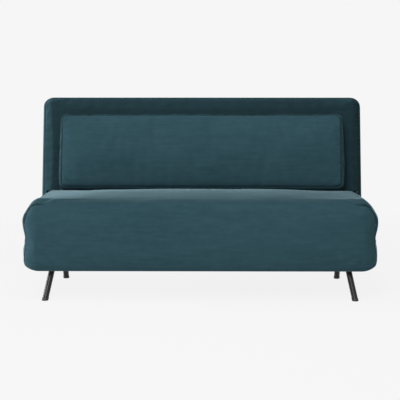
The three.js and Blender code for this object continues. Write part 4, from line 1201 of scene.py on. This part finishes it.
def makeSheet(name, low, high, thinAxis, look):
    # A flat piece cut to its corners, with low soft waves
    low, high = Vector(low), Vector(high)
    size, middle = high - low, (low + high) / 2
    long, short = [axis for axis in range(3) if axis != thinAxis]
    bpy.ops.object.select_all(action="DESELECT")
    bpy.ops.mesh.primitive_grid_add(x_subdivisions=look["cells"][0], y_subdivisions=look["cells"][1], size=1)
    piece = bpy.context.object
    for vertex in piece.data.vertices:
        place = middle.copy()
        place[long] += vertex.co.x * size[long]
        place[short] += vertex.co.y * size[short]
        edge = min((0.5 - abs(vertex.co.x)) * size[long], (0.5 - abs(vertex.co.y)) * size[short])
        height = sum(noise.noise(place / pitch) * share for pitch, share in waves["pitches"])
        place[thinAxis] += height * look["wave"] * min(1, edge / waves["fade"])
        vertex.co = place
    applied(piece, "SOLIDIFY", thickness=size[thinAxis] - flatEdge["thinner"], offset=0)
    turnedOut(piece)
    softened(piece, size[thinAxis] * flatEdge["softShare"], 2, 60)
    piece.name = piece.data.name = name
    settled(piece)
    return piece


def makeStaples():
    # Staples along the edges of the dust cover, between its openings
    staple, (lowX, lowY, lowZ), (highX, highY, _) = dustCover["staple"], dustCover["low"], dustCover["high"]
    face, opening, inset = lowZ - staple["below"], dustCover["opening"], staple["inset"]
    made = []
    for start, end in (((lowX + opening, lowY + inset), (highX - opening, lowY + inset)),
                       ((lowX + opening, highY - inset), (highX - opening, highY - inset)),
                       ((lowX + inset, lowY + opening), (lowX + inset, highY - opening)),
                       ((highX - inset, lowY + opening), (highX - inset, highY - opening))):
        start, end = Vector((*start, face)), Vector((*end, face))
        along = (end - start).normalized().xy.angle_signed(Vector((1, 0)))
        count = round((end - start).length / staple["spacing"])
        for step in range(count + 1):
            spot = start.lerp(end, (step + staple["firstAt"]) / (count + 2 * staple["firstAt"]))
            turn = along + noise.noise(spot * staple["grain"]) * staple["turn"]
            way = Vector((math.cos(turn), math.sin(turn), 0)) * staple["length"] / 2
            made.append(rodAlong(spot - way, spot + way, staple["thick"] / 2, 8))
    return joinedAs("dustCoverStaples", made)


def makeDustCover():
    (lowX, lowY, _), (highX, highY, _) = low, high = dustCover["low"], dustCover["high"]
    opening, past, (bottom, top) = (dustCover[key] for key in ("opening", "openingPast", "openingHeights"))
    cloth = makeSheet("dustCover", low, high, 2, dustCover)
    for sideX, cornerX in ((-1, lowX), (1, highX)):
        for sideY, cornerY in ((-1, lowY), (1, highY)):
            x = sorted((cornerX - sideX * opening, cornerX + sideX * past))
            y = sorted((cornerY - sideY * opening, cornerY + sideY * past))
            cutAway(cloth, [((x[0], y[0], bottom), (x[1], y[1], top))])
    settled(cloth)
    belongs(cloth, "seat", "black_cloth", ["dust_cover"])
    cut = [highX - lowX, highY - lowY]
    cut[0] * cut[1] - 4 * opening ** 2
    belongs(makeStaples(), "seat", "spring_steel")


def placeOf(name, turn=Matrix()):
    # The lowest and highest corner of a CAD node, seen in the frame that the turn leads to
    corners = [turn @ vertex.co for vertex in frame["nodes"][name].data.vertices]
    return [[pick(corner[axis] for corner in corners) for axis in range(3)] for pick in (min, max)]


def makeBackFlats():
    panel = makeSheet("backPanel", backPanel["low"], backPanel["high"], 1, backPanel)
    low, high = placeOf("back_support_cloth", slabToSofa.inverted())
    support = makeSheet("backSupportCloth", low, high, 1, hiddenCloth)
    for piece, node in ((panel, "back_panel"), (support, "back_support_cloth")):
        piece.data.transform(slabToSofa)
        belongs(piece, "backrest", "black_cloth", [node])
    high[0] - low[0]
    high[2] - low[2]


makeDustCover()
makeBackFlats()
felt = makeSheet("seatFeltPad", *placeOf("seat_felt_pad"), 2, hiddenCloth)
belongs(felt, "seat", "felt", ["seat_felt_pad"])
print("flat pieces made")

# ---- zip under the cushion

zipper = {
    "halfLength": 0.24,
    "y": -0.1013,
    "tape": {"half": 0.0035, "low": 0.0285, "high": 0.0304, "corner": 0.002, "edge": 0.0004},
    "tooth": {"size": (0.0012, 0.0024, 0.001), "pitch": 0.0022, "low": 0.0276, "offCentre": 0.0007, "edge": 0.0002,
              "start": 0.008, "ends": 0.02},  # where the rows start, and how much shorter they are than the tape
    "slider": {"x": 0.228, "size": (0.011, 0.0068, 0.0022), "low": 0.0268, "corner": 0.0022, "edge": 0.0005},
    "pull": {"length": 0.02, "width": 0.0055, "thick": 0.0009, "below": 0.0002, "edge": 0.0002},
}


def makeTeeth(row, shift):
    # One row of teeth, side by side along the tape
    tooth = zipper["tooth"]
    place = (tooth["start"] - zipper["halfLength"] + shift, zipper["y"] + row * tooth["offCentre"],
             tooth["low"] + tooth["size"][2] / 2)
    teeth = softened(newPrimitive("cube", size=1, scale=tooth["size"], location=place), tooth["edge"], 1)
    count = int((2 * zipper["halfLength"] - tooth["ends"]) / tooth["pitch"])
    applied(teeth, "ARRAY", count=count, use_relative_offset=False, use_constant_offset=True,
            constant_offset_displace=(tooth["pitch"], 0, 0))
    return teeth


def makeZip():
    y, reach, tape, slider, pull = (zipper[key] for key in ("y", "halfLength", "tape", "slider", "pull"))
    band = roundedPlate((-reach, y - tape["half"], tape["low"]), (reach, y + tape["half"], tape["high"]),
                        tape["corner"], tape["edge"])
    rows = [makeTeeth(-1, 0), makeTeeth(1, zipper["tooth"]["pitch"] / 2)]
    x, low, (length, width, height) = slider["x"], slider["low"], slider["size"]
    body = roundedPlate((x - length / 2, y - width / 2, low), (x + length / 2, y + width / 2, low + height),
                        slider["corner"], slider["edge"])
    under, half = low - pull["below"], pull["width"] / 2
    tab = roundedPlate((x - length / 2 - pull["length"], y - half, under),
                       (x - length / 4, y + half, under + pull["thick"]), slider["corner"], pull["edge"])
    made = [(joinedAs("cushionZipTape", [band]), "black_cloth", ["cushion_zip"]),
            (joinedAs("cushionZipTeeth", rows), "black_plastic", []),
            (joinedAs("cushionZipSlider", [body, tab]), "zinc_steel", [])]
    for piece, slot, nodes in made:
        piece.data.transform(slabToSofa)
        belongs(piece, "cushion", slot, nodes)


makeZip()
print("zip made")
